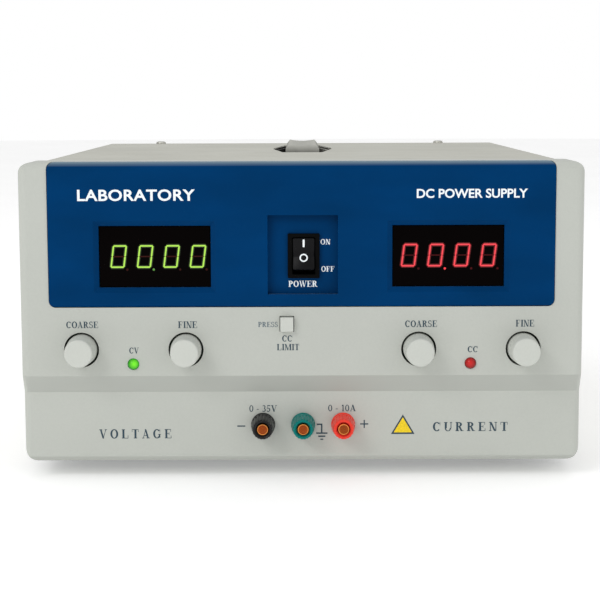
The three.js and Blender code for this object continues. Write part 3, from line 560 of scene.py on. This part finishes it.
def binding_post(pole):
    """The ribbed cap, the collar, the threaded stud with its plug socket, and the washer."""
    cap_low, cap_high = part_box(f"post_cap_{pole}")
    origin = ((cap_low.x + cap_high.x) / 2, BEZEL_LOW.y, (cap_low.z + cap_high.z) / 2)
    front = (cap_low.y - BEZEL_LOW.y) / MM
    rear = (cap_high.y - BEZEL_LOW.y) / MM
    outer = [(5.55, rear), (5.6, rear - 1.2), (5.55, rear - 1.6), (5.45, -0.6), (5.3, -3), (5.0, -5.6),
             (4.85, front + 0.9), (4.5, front + 0.15), (3.9, front)]
    inner = [(3.6, front + 0.2), (3.55, front + 1.2), (CAP_BORE, front + 1.3), (CAP_BORE, rear)]

    def ripple(angle, index):
        ribbed = 2 <= index <= 6
        return 1 - RIB_DEPTH * (0.5 + 0.5 * math.cos(RIBS * angle)) ** 2 if ribbed else 1

    bm = bmesh.new()
    profile = outer + inner
    lathe(bm, profile + [profile[0]], origin, sides=RIBS * 8, ripple=ripple)
    look, slot = f"post_{pole}", POSTS[pole][0]
    cap = f"post_cap_{pole}"
    piece_from(f"{cap}_ribbed", bm, look, f"{cap}_body", [cap], 40)

    bm = bmesh.new()
    base_front = (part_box(f"post_base_{pole}")[0].y - BEZEL_LOW.y) / MM
    base = [(BASE_BORE, base_front), (5.2, base_front), (5.7, base_front + 0.4), (5.7, 4.7), (3.4, 4.7),
            (3.4, 12), (BASE_BORE, 12)]
    lathe(bm, base + [base[0]], origin)
    piece_from(f"post_base_{pole}_collar", bm, look, CASE, [f"post_base_{pole}"], 35)

    bm = bmesh.new()
    tip = (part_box(f"post_stud_{pole}")[0].y - BEZEL_LOW.y) / MM
    stud = [(0, SOCKET_DEPTH + 2), (1.85, SOCKET_DEPTH + 1), (SOCKET_RADIUS, SOCKET_DEPTH + 0.4),
            (SOCKET_RADIUS, tip + 0.45), (2.15, tip), (2.5, tip), (STUD_RADIUS, tip + 0.25), (STUD_RADIUS, 2)]
    for i in range(THREAD_STEPS):
        stud.append((STUD_RADIUS if i % 2 else THREAD_ROOT, 2 + i * THREAD_PITCH / 2))
    stud += [(STUD_RADIUS, 11.5), (STUD_RADIUS, 35.6), (2.3, 36), (0, 36)]
    lathe(bm, stud, origin, sides=64)
    piece_from(f"post_stud_{pole}_turned", bm, "brass", CASE, [f"post_stud_{pole}"], 40)

    # The socket's lining, with a painted glow in brass colour inside the bore, where no lamp is.
    bm = bmesh.new()
    outside, inside = SOCKET_RADIUS - 0.02, SOCKET_RADIUS - 0.1
    lining = [(outside, tip + 0.5), (outside, SOCKET_DEPTH), (inside, SOCKET_DEPTH), (inside, tip + 0.6)]
    lathe(bm, lining + [lining[0]], origin, sides=48)
    piece_from(f"post_socket_{pole}", bm, "socket")

    bm = bmesh.new()
    section = rounded([(3, 2.6), (3, 2.1), (4.6, 2.1), (4.6, 3.1), (3, 3.1), (3, 2.6)], 0.15)
    lathe(bm, section, origin, sides=64)
    washer = f"post_washer_{pole}"
    piece_from(f"{washer}_turned", bm, "brass", f"{washer}_body", [washer], 40)


for pole in POSTS:
    binding_post(pole)


# ---------------------------------------------------------------- lamps
LENS_RADIUS, LENS_DOME = 2.5, 2.2
RIM_RADIUS, RIM_FRONT, RIM_REAR = 2.9, 6.9, 7.9
LEG_HALF, LEG_X, LEG_REAR = 0.3, 1.27, 13.7


def lamp(side, rgb, rim_rgb, strength, shift):
    """A domed lens with a rim and two legs, brightest at shift millimetres right of its middle."""
    node = f"led_{side}"
    middle = centre_of(node)
    origin = (middle.x, BEZEL_LOW.y, middle.z)
    core = (middle.x + shift * MM, BEZEL_LOW.y - 2.0 * MM, middle.z + 0.4 * MM)
    LOOKS[node] = glowing(f"{node}_lens", rgb, rim_rgb, strength, core, 3.0)
    angles = [math.radians(a) for a in range(0, 86, 8)]
    dome = [(LENS_RADIUS * math.cos(a), -LENS_DOME * math.sin(a)) for a in angles]
    rim = [(0, RIM_REAR), (RIM_RADIUS, RIM_REAR), (RIM_RADIUS, RIM_FRONT), (LENS_RADIUS, RIM_FRONT)]
    bm = bmesh.new()
    lathe(bm, [*rim, *dome, (0, -LENS_DOME)], origin, sides=64)
    for x in (-LEG_X, LEG_X):
        cx, cz = middle.x / MM + x, (middle.z - BEZEL_LOW.z) / MM
        block(bm, cx - LEG_HALF, cx + LEG_HALF, RIM_REAR - 0.4, LEG_REAR, cz - LEG_HALF, cz + LEG_HALF)
    piece_from(f"{node}_domed", bm, node, CASE, [node], 40)


lamp("voltage", (124, 246, 44), (12, 126, 10), 0.95, 0.6)
lamp("current", (222, 40, 36), (120, 4, 8), 0.75, -0.4)


# ---------------------------------------------------------------- rocker
ROCKER_PIVOT = at(1.0, 5.6, 98.95)
ROCKER_TILT = Matrix.Rotation(math.radians(-11), 4, "X")
ROCKER_HALF_WIDTH, ROCKER_HALF_HEIGHT = 5.0, 7.2
ROCKER_FACE, ROCKER_DISH = -4.7, 1.6  # the face's middle, and how far its two ends stand out in front of it
MARK_UNDER, MARK_PROUD = -0.1, 0.04


def rocker_face(z):
    """The rocker face's place in front of its pivot, at height z."""
    return ROCKER_FACE - ROCKER_DISH * abs(z / ROCKER_HALF_HEIGHT) ** 1.6


def on_face(x, z, lift):
    return ROCKER_PIVOT + ROCKER_TILT @ Vector((x * MM, (rocker_face(z) - lift) * MM, z * MM))


def rocker():
    """The dished rocker, with its narrow edges drawn in a little at both sides."""
    heights = [ROCKER_HALF_HEIGHT * (i / 8 - 1) for i in range(17)]
    section = [(rocker_face(z), z) for z in heights]
    section += [(-5.4, 7.55), (1, 6.2), (4.2, 1.2), (4.2, -1.2), (1, -6.2), (-5.4, -7.55)]
    bm = bmesh.new()
    rows = []
    for x, inset in ((-ROCKER_HALF_WIDTH, 0.35), (-4.6, 0), (4.6, 0), (ROCKER_HALF_WIDTH, 0.35)):
        scale = 1 - inset / ROCKER_HALF_HEIGHT
        row = []
        for y, z in section:
            local = Vector((x * MM, (y + (inset if y < 0 else 0)) * MM, z * scale * MM))
            row.append(bm.verts.new(ROCKER_PIVOT + ROCKER_TILT @ local))
        rows.append(row)
    for a, b in zip(rows, rows[1:]):
        join_loops(bm, a, b)
    bm.faces.new(rows[0])
    bm.faces.new(rows[-1][::-1])
    piece_from("power_rocker_moulded", bm, "rocker", "rocker_body", ["power_rocker"], 40)


def join_loops(bm, a, b):
    """Faces between two closed loops of the same length."""
    for k in range(len(a)):
        n = (k + 1) % len(a)
        bm.faces.new([a[k], a[n], b[n], b[k]])


def mark_on(half_width=0.45, low=3.3, high=6.7, steps=6):
    """The upright stroke, which follows the face's curve."""
    bm = bmesh.new()
    rows = []
    for i in range(steps + 1):
        z = low + (high - low) * i / steps
        corners = ((-half_width, MARK_PROUD), (half_width, MARK_PROUD), (half_width, MARK_UNDER),
                   (-half_width, MARK_UNDER))
        rows.append([bm.verts.new(on_face(x, z, lift)) for x, lift in corners])
    for a, b in zip(rows, rows[1:]):
        join_loops(bm, a, b)
    bm.faces.new(rows[0])
    bm.faces.new(rows[-1][::-1])
    piece_from("rocker_mark_on", bm, "white_ink", "rocker_body")


def mark_off(outer=1.95, inner=1.3, middle=-1.75, sides=40):
    """The ring, which follows the face's curve."""
    bm = bmesh.new()
    loops = []
    for radius, lift in ((outer, MARK_UNDER), (outer, MARK_PROUD), (inner, MARK_PROUD), (inner, MARK_UNDER)):
        angles = [2 * math.pi * k / sides for k in range(sides)]
        places = [(radius * math.cos(a), middle + radius * math.sin(a)) for a in angles]
        loops.append([bm.verts.new(on_face(x, z, lift)) for x, z in places])
    for a, b in zip(loops, loops[1:] + loops[:1]):
        join_loops(bm, a, b)
    piece_from("rocker_mark_off", bm, "white_ink", "rocker_body")


rocker()
mark_on()
mark_off()


# ---------------------------------------------------------------- digits
DIGIT_HEIGHT, DIGIT_WIDTH = 10.7, 6.7
SLANT = 0.13  # how far a digit leans to the right, as a share of its height
SEGMENT = 0.72  # the thickness of a lit bar
HALO = 2.4  # the thickness of the glow around it, in bars
POINT_RADIUS = 0.55
BARS_PROUD, BARS_UNDER, HALO_BEHIND = 0.07, 0.05, 0.04


def digit_bar(bm, x, z, along, length, thick, depth, origin_z):
    """One display bar: a long hexagon that leans with the digit."""
    half, t = length / 2, thick / 2
    outline = [(-half, 0), (-half + t, t), (half - t, t), (half, 0), (half - t, -t), (-half + t, -t)]
    if along == "z":
        outline = [(-b, a) for a, b in outline]
    corners = [(x + a + (z + b - origin_z) * SLANT, z + b) for a, b in outline]
    bar(bm, corners, depth - BARS_PROUD, depth + BARS_UNDER)


def readout(side, xs, z, dot, lit, unlit, point_rgb, halo_rgb):
    """Four zeros with a dark middle bar each, their glow, and the points of which one is lit."""
    depth = (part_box(f"display_window_{side}")[0].y - BEZEL_LOW.y) / MM
    glow_depth = depth + HALO_BEHIND
    h, w, t = DIGIT_HEIGHT, DIGIT_WIDTH, SEGMENT
    long_bar = (h - t) / 2 - 0.25
    wide_bar = w - t - 0.25
    on, off, halo = bmesh.new(), bmesh.new(), bmesh.new()
    for x in xs:
        for dz in (h / 2 - t / 2, t / 2 - h / 2):
            digit_bar(on, x, z + dz, "x", wide_bar + 0.5, t, depth, z)
            digit_bar(halo, x, z + dz, "x", wide_bar + 1.6, HALO * t, glow_depth, z)
        for dx in (w / 2 - t / 2, t / 2 - w / 2):
            for dz in ((h - t) / 4, -(h - t) / 4):
                digit_bar(on, x + dx, z + dz, "z", long_bar + 0.4, t, depth, z)
                digit_bar(halo, x + dx, z + dz, "z", long_bar + 1.4, HALO * t, glow_depth, z)
        digit_bar(off, x, z, "x", wide_bar - 0.2, t * 0.8, depth, z)
    LOOKS[f"lit_{side}"] = glowing(f"lit_bars_{side}", lit, tinted(lit, -0.25), 0.95)
    LOOKS[f"halo_{side}"] = glowing(f"halo_bars_{side}", halo_rgb, tinted(halo_rgb, -0.4), 0.9)
    piece_from(f"readout_halo_{side}", halo, f"halo_{side}")
    LOOKS[f"unlit_{side}"] = moulded(f"unlit_bars_{side}", unlit, 0.5, mottle=0.2, specular=0.1)
    LOOKS[f"dot_{side}"] = glowing(f"lit_dot_{side}", point_rgb, tinted(point_rgb, -0.2), 0.9)
    piece_from(f"readout_bars_{side}", on, f"lit_{side}")
    piece_from(f"readout_unlit_{side}", off, f"unlit_{side}")
    points = {"point": ([0], f"dot_{side}"), "unlit_points": ([-1, 1, 2], f"unlit_{side}")}
    for part, (places, look) in points.items():
        bm = bmesh.new()
        for i in places:
            x = dot[0] + i * (xs[1] - xs[0])
            angles = [2 * math.pi * k / 16 for k in range(16)]
            circle = [(x + POINT_RADIUS * math.cos(a), dot[1] + POINT_RADIUS * math.sin(a)) for a in angles]
            bar(bm, circle, depth - BARS_PROUD, depth + BARS_UNDER)
        piece_from(f"readout_{part}_{side}", bm, look)


readout("voltage", [-85.7 + i * 12.39 for i in range(4)], 98.97, (-69.34, 92.83), (184, 240, 86), (52, 12, 6),
        (90, 150, 60), (30, 48, 8))
readout("current", [50.5 + i * 12.34 for i in range(4)], 99.2, (67.2, 92.9), (255, 70, 80), (66, 6, 10),
        (255, 60, 70), (104, 4, 10))


# ---------------------------------------------------------------- printed labels
STEM, HAIR, SERIF = 0.26, 0.10, 0.075  # stroke widths of the serif capitals, whose height is 1


def box_2d(x0, x1, z0, z1):
    return [(x0, z0), (x1, z0), (x1, z1), (x0, z1)]


def foot_2d(x0, x1, z):
    """A serif from x0 to x1 on the base line, or hanging from the cap line."""
    return box_2d(x0, x1, z, z + SERIF) if z == 0 else box_2d(x0, x1, z - SERIF, z)


def stem_2d(x, width=STEM, ends=(0, 1), low=0.0, high=1.0):
    shapes = [box_2d(x, x + width, low, high)]
    return shapes + [foot_2d(x - 0.09, x + width + 0.09, z) for z in ends]


def slant_2d(x0, z0, x1, z1, width):
    """A leaning stroke, whose left corners are given."""
    return [(x0, z0), (x0 + width, z0), (x1 + width, z1), (x1, z1)]


def bowl_2d(cx, cz, rx, rz, start=0, end=360, wide=STEM, thin=HAIR, steps=20):
    """Part of an oval stroke, heavy at its sides and light at its top and bottom."""
    shapes = []
    for i in range(steps):
        quad = []
        for k, outer in ((i, True), (i + 1, True), (i + 1, False), (i, False)):
            a = math.radians(start + (end - start) * k / steps)
            x, z = (rx, rz) if outer else (rx - wide, rz - thin)
            quad.append((cx + x * math.cos(a), cz + z * math.sin(a)))
        shapes.append(quad)
    return shapes


# Each capital or figure: its width and its strokes, in units of the capitals' height.
GLYPHS = {
    "A": (1.04, [slant_2d(0.12, 0, 0.46, 1, 0.08), slant_2d(0.70, 0, 0.36, 1, 0.22),
                 box_2d(0.25, 0.75, 0.28, 0.345), foot_2d(0, 0.32, 0), foot_2d(0.6, 1.04, 0)]),
    "C": (1.0, bowl_2d(0.52, 0.5, 0.5, 0.52, 42, 318) + [box_2d(0.88, 0.94, 0.64, 1.0)]),
    "E": (0.94, stem_2d(0.12) + [box_2d(0.12, 0.84, 0.94, 1), box_2d(0.12, 0.62, 0.475, 0.535),
                                 box_2d(0.12, 0.88, 0, 0.06), box_2d(0.79, 0.85, 0.7, 1),
                                 box_2d(0.84, 0.91, 0, 0.3), box_2d(0.58, 0.64, 0.36, 0.65)]),
    "F": (0.88, stem_2d(0.12) + [box_2d(0.12, 0.82, 0.94, 1), box_2d(0.12, 0.62, 0.475, 0.535),
                                 box_2d(0.77, 0.83, 0.7, 1), box_2d(0.58, 0.64, 0.36, 0.65)]),
    "G": (1.1, bowl_2d(0.52, 0.5, 0.5, 0.52, 42, 325)
          + [box_2d(0.88, 0.94, 0.64, 1.0), box_2d(0.76, 0.96, 0.08, 0.44), box_2d(0.66, 1.06, 0.42, 0.475)]),
    "I": (0.5, stem_2d(0.15)),
    "L": (0.92, stem_2d(0.12) + [box_2d(0.12, 0.86, 0, 0.06), box_2d(0.82, 0.89, 0, 0.34)]),
    "M": (1.34, stem_2d(0.14, HAIR, (0,)) + stem_2d(1.02, STEM)
          + [slant_2d(0.56, 0, 0.1, 1, 0.22), foot_2d(0.02, 0.3, 1), slant_2d(0.60, 0, 1.04, 1, 0.08),
             foot_2d(0.02, 0.32, 0)]),
    "N": (1.04, stem_2d(0.14, HAIR, (0,)) + stem_2d(0.84, HAIR, (1,)) + [slant_2d(0.66, 0, 0.1, 1, 0.24),
                 foot_2d(0.02, 0.3, 1), foot_2d(0.02, 0.34, 0), foot_2d(0.7, 1.04, 1)]),
    "O": (1.08, bowl_2d(0.54, 0.5, 0.52, 0.52, steps=32)),
    "P": (0.9, stem_2d(0.12) + bowl_2d(0.44, 0.73, 0.42, 0.27, -90, 90)
          + [box_2d(0.2, 0.46, 0.935, 1), box_2d(0.2, 0.46, 0.46, 0.525)]),
    "R": (1.04, stem_2d(0.12) + bowl_2d(0.44, 0.74, 0.4, 0.26, -90, 90)
          + [box_2d(0.2, 0.46, 0.935, 1), box_2d(0.2, 0.46, 0.48, 0.545), slant_2d(0.7, 0, 0.4, 0.5, 0.24),
             foot_2d(0.7, 1.04, 0)]),
    "S": (0.78, bowl_2d(0.37, 0.74, 0.32, 0.28, 30, 270, 0.18, 0.08)
          + bowl_2d(0.39, 0.27, 0.35, 0.29, -150, 90, 0.18, 0.08)
          + [box_2d(0.6, 0.66, 0.68, 1), box_2d(0.05, 0.11, 0, 0.34)]),
    "T": (0.94, stem_2d(0.37, STEM, (0,))
          + [box_2d(0.03, 0.91, 0.94, 1), box_2d(0.03, 0.09, 0.7, 1), box_2d(0.85, 0.91, 0.7, 1)]),
    "U": (1.04, bowl_2d(0.515, 0.34, 0.4, 0.36, 180, 360, 0.17, 0.08) + stem_2d(0.115, STEM, (1,), 0.33)
          + stem_2d(0.85, HAIR, (1,), 0.33)),
    "V": (1.02, [slant_2d(0.42, 0, 0.08, 1, 0.22), slant_2d(0.46, 0, 0.84, 1, 0.08), foot_2d(0, 0.4, 1),
                 foot_2d(0.72, 1.02, 1)]),
    "W": (1.44, [slant_2d(0.34, 0, 0.08, 1, 0.2), slant_2d(0.4, 0, 0.72, 1, 0.07),
                 slant_2d(0.88, 0, 0.6, 1, 0.2), slant_2d(0.94, 0, 1.26, 1, 0.07),
                 foot_2d(0, 0.38, 1), foot_2d(0.5, 0.9, 1), foot_2d(1.14, 1.44, 1)]),
    "0": (0.74, bowl_2d(0.37, 0.5, 0.34, 0.51, wide=0.17, steps=28)),
    "1": (0.6, stem_2d(0.26, 0.17, (0,)) + [slant_2d(0.12, 0.8, 0.2, 1, 0.2)]),
    "3": (0.7, bowl_2d(0.32, 0.74, 0.27, 0.27, -80, 150, 0.16)
          + bowl_2d(0.31, 0.27, 0.33, 0.28, -150, 80, 0.17)),
    "5": (0.7, [box_2d(0.14, 0.64, 0.86, 1), slant_2d(0.08, 0.48, 0.14, 1, 0.07)]
          + bowl_2d(0.3, 0.3, 0.34, 0.31, -150, 130, 0.17)),
    "-": (0.5, [box_2d(0.08, 0.42, 0.32, 0.41)]),
    " ": (0.34, []),
}


def serif_words(words, spacing):
    """The outline of all the strokes of the words, as one flat mesh."""
    shapes, x = [], 0.0
    for letter in words:
        width, strokes = GLYPHS[letter]
        shapes += [[(x + u, v) for u, v in stroke] for stroke in strokes]
        x += width + spacing
    points, faces = [], []
    for shape in shapes:
        area = sum(a[0] * b[1] - b[0] * a[1] for a, b in zip(shape, shape[1:] + shape[:1]))
        faces.append(list(range(len(points), len(points) + len(shape))))
        points += [Vector(p) for p in (shape if area > 0 else shape[::-1])]
    corners, _, triangles, _, _, sources = delaunay_2d_cdt(points, [], faces, 1, 1e-5)
    bm = bmesh.new()
    made = [bm.verts.new((p.x, p.y, 0)) for p in corners]
    for triangle, strokes in zip(triangles, sources):
        if strokes:  # a triangle in no stroke is the open middle of a letter
            bm.faces.new([made[i] for i in triangle])
    bmesh.ops.delete(bm, geom=[v for v in bm.verts if not v.link_faces], context="VERTS")
    bmesh.ops.dissolve_limit(bm, angle_limit=0.02, verts=bm.verts, edges=bm.edges)
    return bm


def plain_words(words, spacing, bold):
    """Words in the built-in plain typeface, as one flat mesh."""
    curve = bpy.data.curves.new("words", "FONT")
    curve.body = words
    curve.offset = bold
    curve.space_character = spacing
    curve.resolution_u = 4
    temporary = bpy.data.objects.new("words", curve)
    bpy.context.scene.collection.objects.link(temporary)
    flat = bpy.data.meshes.new_from_object(temporary.evaluated_get(bpy.context.evaluated_depsgraph_get()))
    bpy.data.objects.remove(temporary)
    bpy.data.curves.remove(curve)
    bm = bmesh.new()
    bm.from_mesh(flat)
    bpy.data.meshes.remove(flat)
    return bm


INK_PROUD, INK_THICKNESS = 0.035, 0.06


def label(name, words, centre, size, depth, look="dark_ink", spacing=0.06, plain=None):
    """Printed words that fill a box of the given size, in millimetres, on the face at that depth."""
    bm = plain_words(words, spacing, plain) if plain else serif_words(words, spacing)
    xs, ys = [v.co.x for v in bm.verts], [v.co.y for v in bm.verts]
    sx, sz = size[0] / (max(xs) - min(xs)), size[1] / (max(ys) - min(ys))
    mx, mz = (max(xs) + min(xs)) / 2, (max(ys) + min(ys)) / 2
    for v in bm.verts:
        v.co = at(centre[0] + (v.co.x - mx) * sx, depth - INK_PROUD, centre[1] + (v.co.y - mz) * sz)
    grown = bmesh.ops.extrude_face_region(bm, geom=bm.faces[:])
    for element in grown["geom"]:
        if isinstance(element, bmesh.types.BMVert):
            element.co.y += INK_THICKNESS * MM
    return piece_from("label_" + name, bm, look)


# Depths of the printed faces: upper front, fascia, switch recess and lower front.
FACE, FASCIA, PAN, LOWER = 0.0, -0.6, 3.6, 5.0

# Name, words, centre (x, z), size, depth, then the ink, the letter spacing and a plain letter's boldness.
LABELS = [
    ("laboratory", "LABORATORY", (-77.0, 127.8), (54.8, 5.4), FASCIA, "white_ink", 1.05, 0.022),
    ("supply", "DC POWER SUPPLY", (79.6, 128.2), (51.7, 4.3), FASCIA, "white_ink", 1.0, 0.022),
    ("coarse_voltage", "COARSE", (-103.3, 66.9), (15.0, 3.2), FACE),
    ("fine_voltage", "FINE", (-53.7, 66.8), (8.9, 3.2), FACE),
    ("cv", "CV", (-79.1, 54.6), (4.5, 2.9), FACE),
    ("press", "PRESS", (-15.9, 66.8), (9.2, 2.5), FACE, "faint_ink"),
    ("cc_upper", "CC", (-6.9, 60.1), (4.7, 3.0), FACE),
    ("limit", "LIMIT", (-6.5, 56.0), (10.4, 3.0), FACE),
    ("coarse_current", "COARSE", (56.1, 66.9), (15.0, 3.2), FACE),
    ("fine_current", "FINE", (105.0, 67.0), (8.6, 3.2), FACE),
    ("cc", "CC", (80.5, 54.7), (4.7, 2.9), FACE),
    ("volts", "0 - 35V", (-18.5, 25.7), (13.2, 3.2), LOWER),
    ("amps", "0 - 10A", (19.1, 25.8), (13.3, 3.2), LOWER),
    ("on", "ON", (11.25, 105.4), (4.6, 2.6), PAN, "white_ink"),
    ("off", "OFF", (12.3, 92.6), (6.1, 2.6), PAN, "white_ink"),
    ("power", "POWER", (0.65, 85.6), (13.6, 3.0), PAN, "white_ink"),
    ("voltage", "VOLTAGE", (-79.6, 13.6), (34.4, 4.6), LOWER, "dark_ink", 0.42),
    ("current", "CURRENT", (80.2, 16.6), (35.6, 4.5), LOWER, "dark_ink", 0.4),
]
for entry in LABELS:
    label(*entry)


def printed(name, outlines, depth, look, lift=INK_PROUD):
    """A printed symbol, made of flat outlines."""
    bm = bmesh.new()
    for corners in outlines:
        bar(bm, corners, depth - lift, depth + 0.02)
    piece_from("label_" + name, bm, look)


printed("minus", [box_2d(-30.9, -27.1, 16.9, 17.5)], LOWER, "dark_ink")
across = [box_2d(27.7, 31.6, 17.75, 18.35)]
upright = [box_2d(29.35, 29.95, 16.1, 17.75), box_2d(29.35, 29.95, 18.35, 20.0)]
printed("plus", across + upright, LOWER, "dark_ink")
earth_lead = [box_2d(7.0, 9.7, 17.6, 18.3), box_2d(9.0, 9.7, 14.0, 17.6)]
earth_bars = [box_2d(6.7, 12.1, 13.3, 14.0), box_2d(7.7, 11.1, 11.8, 12.5), box_2d(8.7, 10.1, 10.4, 11.0)]
printed("earth", earth_lead + earth_bars, LOWER, "dark_ink")
printed("caution_edge", [[(42.4, 13.1), (53.7, 13.1), (48.05, 22.6)]], LOWER, "dark_ink", 0.03)
printed("caution_field", [[(43.7, 13.9), (52.4, 13.9), (48.05, 21.2)]], LOWER, "yellow_ink", 0.05)


# ---------------------------------------------------------------- screws and feet
def pan_head(bm, origin, axis, sign, radius, height, sides=40):
    """A cross-recessed pan head: a turned dome, cut by a sunken cross."""
    profile = [(0, -0.2), (radius, -0.2), (radius, 0), (radius, height * 0.35)]
    for i in range(1, 7):
        a = math.radians(15 * i)
        profile.append((radius * (0.45 + 0.55 * math.cos(a)), height * (0.35 + 0.65 * math.sin(a))))
    depth = height * 0.55
    profile += [(radius * 0.30, height), (radius * 0.26, height - depth * 0.5),
                (radius * 0.16, height - depth), (0, height - depth)]
    profile = [(r, sign * y) for r, y in profile]

    def ripple(angle, index):
        inner = index >= len(profile) - 4
        return 1 + (0.75 * max(0.0, math.cos(4 * angle)) ** 3 if inner else 0)

    lathe(bm, profile, origin, axis, sides, ripple)


def screws(name, places, axis, sign, radius, height, replaces=()):
    bm = bmesh.new()
    for place in places:
        pan_head(bm, place, axis, sign, radius, height)
    piece_from(name, bm, "nickel", CASE, replaces, 35)


for side in ("left", "right"):
    node = f"cover_screw_{side}"
    middle = centre_of(node)
    screws(f"{node}_head", [(middle.x, middle.y, COVER_HIGH.z)], "Z", 1, 3.3, 1.7, [node])

REAR = REAR_HIGH.y
EDGE_X, EDGE_HEIGHTS = 121, (12, 70, 130)  # the rear panel's own screws
FAN_PITCH = 35.7  # from the fan's middle to its screws
INLET_PITCH, HUB_HEIGHT = 20, 1.2  # the inlet's screws, on a flange below its raised hub
edge_places = [(x * MM, REAR, BEZEL_LOW.z + z * MM) for x in (-EDGE_X, EDGE_X) for z in EDGE_HEIGHTS]
screws("rear_screws", edge_places, "Y", 1, 2.6, 1.9)
fan = centre_of("fan_frame")
steps = (-FAN_PITCH * MM, FAN_PITCH * MM)
screws("fan_screws", [(fan.x + dx, REAR, fan.z + dz) for dx in steps for dz in steps], "Y", 1, 2.9, 2.0)
inlet = centre_of("mains_inlet")
inlet_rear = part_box("mains_inlet")[1].y
steps = (-INLET_PITCH * MM, INLET_PITCH * MM)
flange = inlet_rear - HUB_HEIGHT * MM
screws("inlet_screws", [(inlet.x + dx, flange, inlet.z) for dx in steps], "Y", 1, 2.8, 1.15)


def side_screws(side):
    """Two screws through the cover's flank into the chassis flange."""
    bm = bmesh.new()
    x = COVER_HIGH.x * side
    for y in (70, 320):
        made = bmesh.new()
        pan_head(made, (0, 0, 0), "Z", 1, 2.6, 1.0)
        turn = Matrix.Rotation(math.radians(90 * side), 4, "Y")
        made.transform(Matrix.Translation((x, BEZEL_LOW.y + y * MM, BEZEL_LOW.z + 16 * MM)) @ turn)
        mesh = bpy.data.meshes.new("screw")
        made.to_mesh(mesh)
        made.free()
        bm.from_mesh(mesh)
        bpy.data.meshes.remove(mesh)
    piece_from(f"side_screws_{'right' if side > 0 else 'left'}", bm, "nickel")


for side in (-1, 1):
    side_screws(side)

for place in ("front_left", "front_right", "rear_left", "rear_right"):
    node = f"foot_{place}"
    low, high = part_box(node)
    middle = (low + high) / 2
    top = (high.z - low.z) / MM
    profile = [(0, 5), (3, 5), (3.2, 0.3), (3.6, 0), (7.3, 0), (8.1, 0.25), (8.5, 1.0), (9.5, top), (0, top)]
    bm = bmesh.new()
    lathe(bm, profile, (middle.x, middle.y, low.z), "Z", 72)
    piece_from(f"{node}_moulded", bm, "rubber", CASE, [node], 40)
    screws(f"{node}_screw", [(middle.x, middle.y, low.z + 5 * MM)], "Z", -1, 2.7, 1.6)


# ---------------------------------------------------------------- the inlet's pins
def inlet_pins():
    """Line, neutral and earth, five millimetres inside the inlet's mouth."""
    bm = bmesh.new()
    cx, cz = inlet.x / MM, (inlet.z - BEZEL_LOW.z) / MM
    tip = (inlet_rear - BEZEL_LOW.y) / MM - 5
    for dx, dz in ((-7, 2.2), (7, 2.2), (0, 6.4)):
        x, z = cx + dx, cz + dz
        block(bm, x - 1.06, x + 1.06, tip - 11.5, tip + 0.06, z - 2.06, z + 2.06)
    piece_from("inlet_pins", bm, "nickel")


inlet_pins()

# ---------------------------------------------------------------- camera, light and floor
CAMERA_DISTANCE = 770.5  # in front of the upper front face
CAMERA_HEIGHT = 173.8  # above the bezel's bottom edge
CAMERA_X = -0.78  # the place the picture is centred on, beside the front's middle
SIDE_STEP = 0.5  # how far the camera stands to the right of that place, with the lens shifted back
SENSOR = 36
FOCAL_RATIO = 2.755833  # focal length as a share of the sensor's width
PITCH_DOWN, ROLL = 7.063, -0.19
camera = bpy.data.objects.new("camera", bpy.data.cameras.new("camera"))
bpy.context.scene.collection.objects.link(camera)
camera.data.sensor_width = SENSOR
camera.data.lens = SENSOR * FOCAL_RATIO
camera.location = at(CAMERA_X + SIDE_STEP, -CAMERA_DISTANCE, CAMERA_HEIGHT)
camera.data.shift_x = -SIDE_STEP / CAMERA_DISTANCE * FOCAL_RATIO
pitch = Matrix.Rotation(math.radians(90 - PITCH_DOWN), 4, "X")
roll = Matrix.Rotation(math.radians(ROLL), 4, "Z")
camera.rotation_euler = (pitch @ roll).to_euler()
bpy.context.scene.camera = camera


def softbox(name, place, aim, size, power):
    light = bpy.data.objects.new(name, bpy.data.lights.new(name, "AREA"))
    light.data.shape = "RECTANGLE"
    light.data.size, light.data.size_y = size
    light.data.energy = power
    light.location = place
    light.rotation_euler = (Vector(aim) - Vector(place)).to_track_quat("-Z", "Y").to_euler()
    bpy.context.scene.collection.objects.link(light)


softbox("key_light", (-1.1, -1.5, 1.3), (0, 0, 0.05), (1.0, 0.8), 11)
softbox("fill_light", (1.4, -1.3, 0.8), (0, 0, 0.05), (1.0, 1.0), 2)
softbox("top_light", (0, 0.3, 1.7), (0, 0, 0.1), (1.4, 1.0), 3)

WHITE = (1, 1, 1, 1)
AMBIENT, BACKDROP = 0.72, 1.0  # the surroundings as the object is lit by them, and as they are seen
world = bpy.data.worlds.new("studio")
world.use_nodes = True
tree = world.node_tree
background = tree.nodes["Background"]
background.inputs["Color"].default_value = WHITE
seen = tree.nodes.new("ShaderNodeLightPath")
level = tree.nodes.new("ShaderNodeMapRange")
level.inputs["To Min"].default_value = AMBIENT
level.inputs["To Max"].default_value = BACKDROP
tree.links.new(seen.outputs["Is Camera Ray"], level.inputs["Value"])
tree.links.new(level.outputs["Result"], background.inputs["Strength"])
bpy.context.scene.world = world
bpy.context.scene.view_settings.view_transform = "Standard"

floor_shader = Shader("floor_paper")
floor_tone = floor_shader.remap(floor_shader.noise(300, 2), 0.3, 0.7, 0.0, 1.0)
floor_colour = floor_shader.mix(floor_tone, (0.93, 0.93, 0.93, 1), (0.96, 0.96, 0.96, 1))
floor_shader.set(Base_Color=floor_colour, Roughness=0.9, Emission_Color=WHITE, Emission_Strength=0.25)
floor_bm = bmesh.new()
bmesh.ops.create_circle(floor_bm, cap_ends=True, radius=6.0, segments=96)
floor_mesh = bpy.data.meshes.new("floor")
floor_bm.to_mesh(floor_mesh)
floor_bm.free()
floor_mesh.materials.append(floor_shader.material)
floor = bpy.data.objects.new("floor", floor_mesh)
bpy.context.scene.collection.objects.link(floor)

bpy.context.view_layer.update()
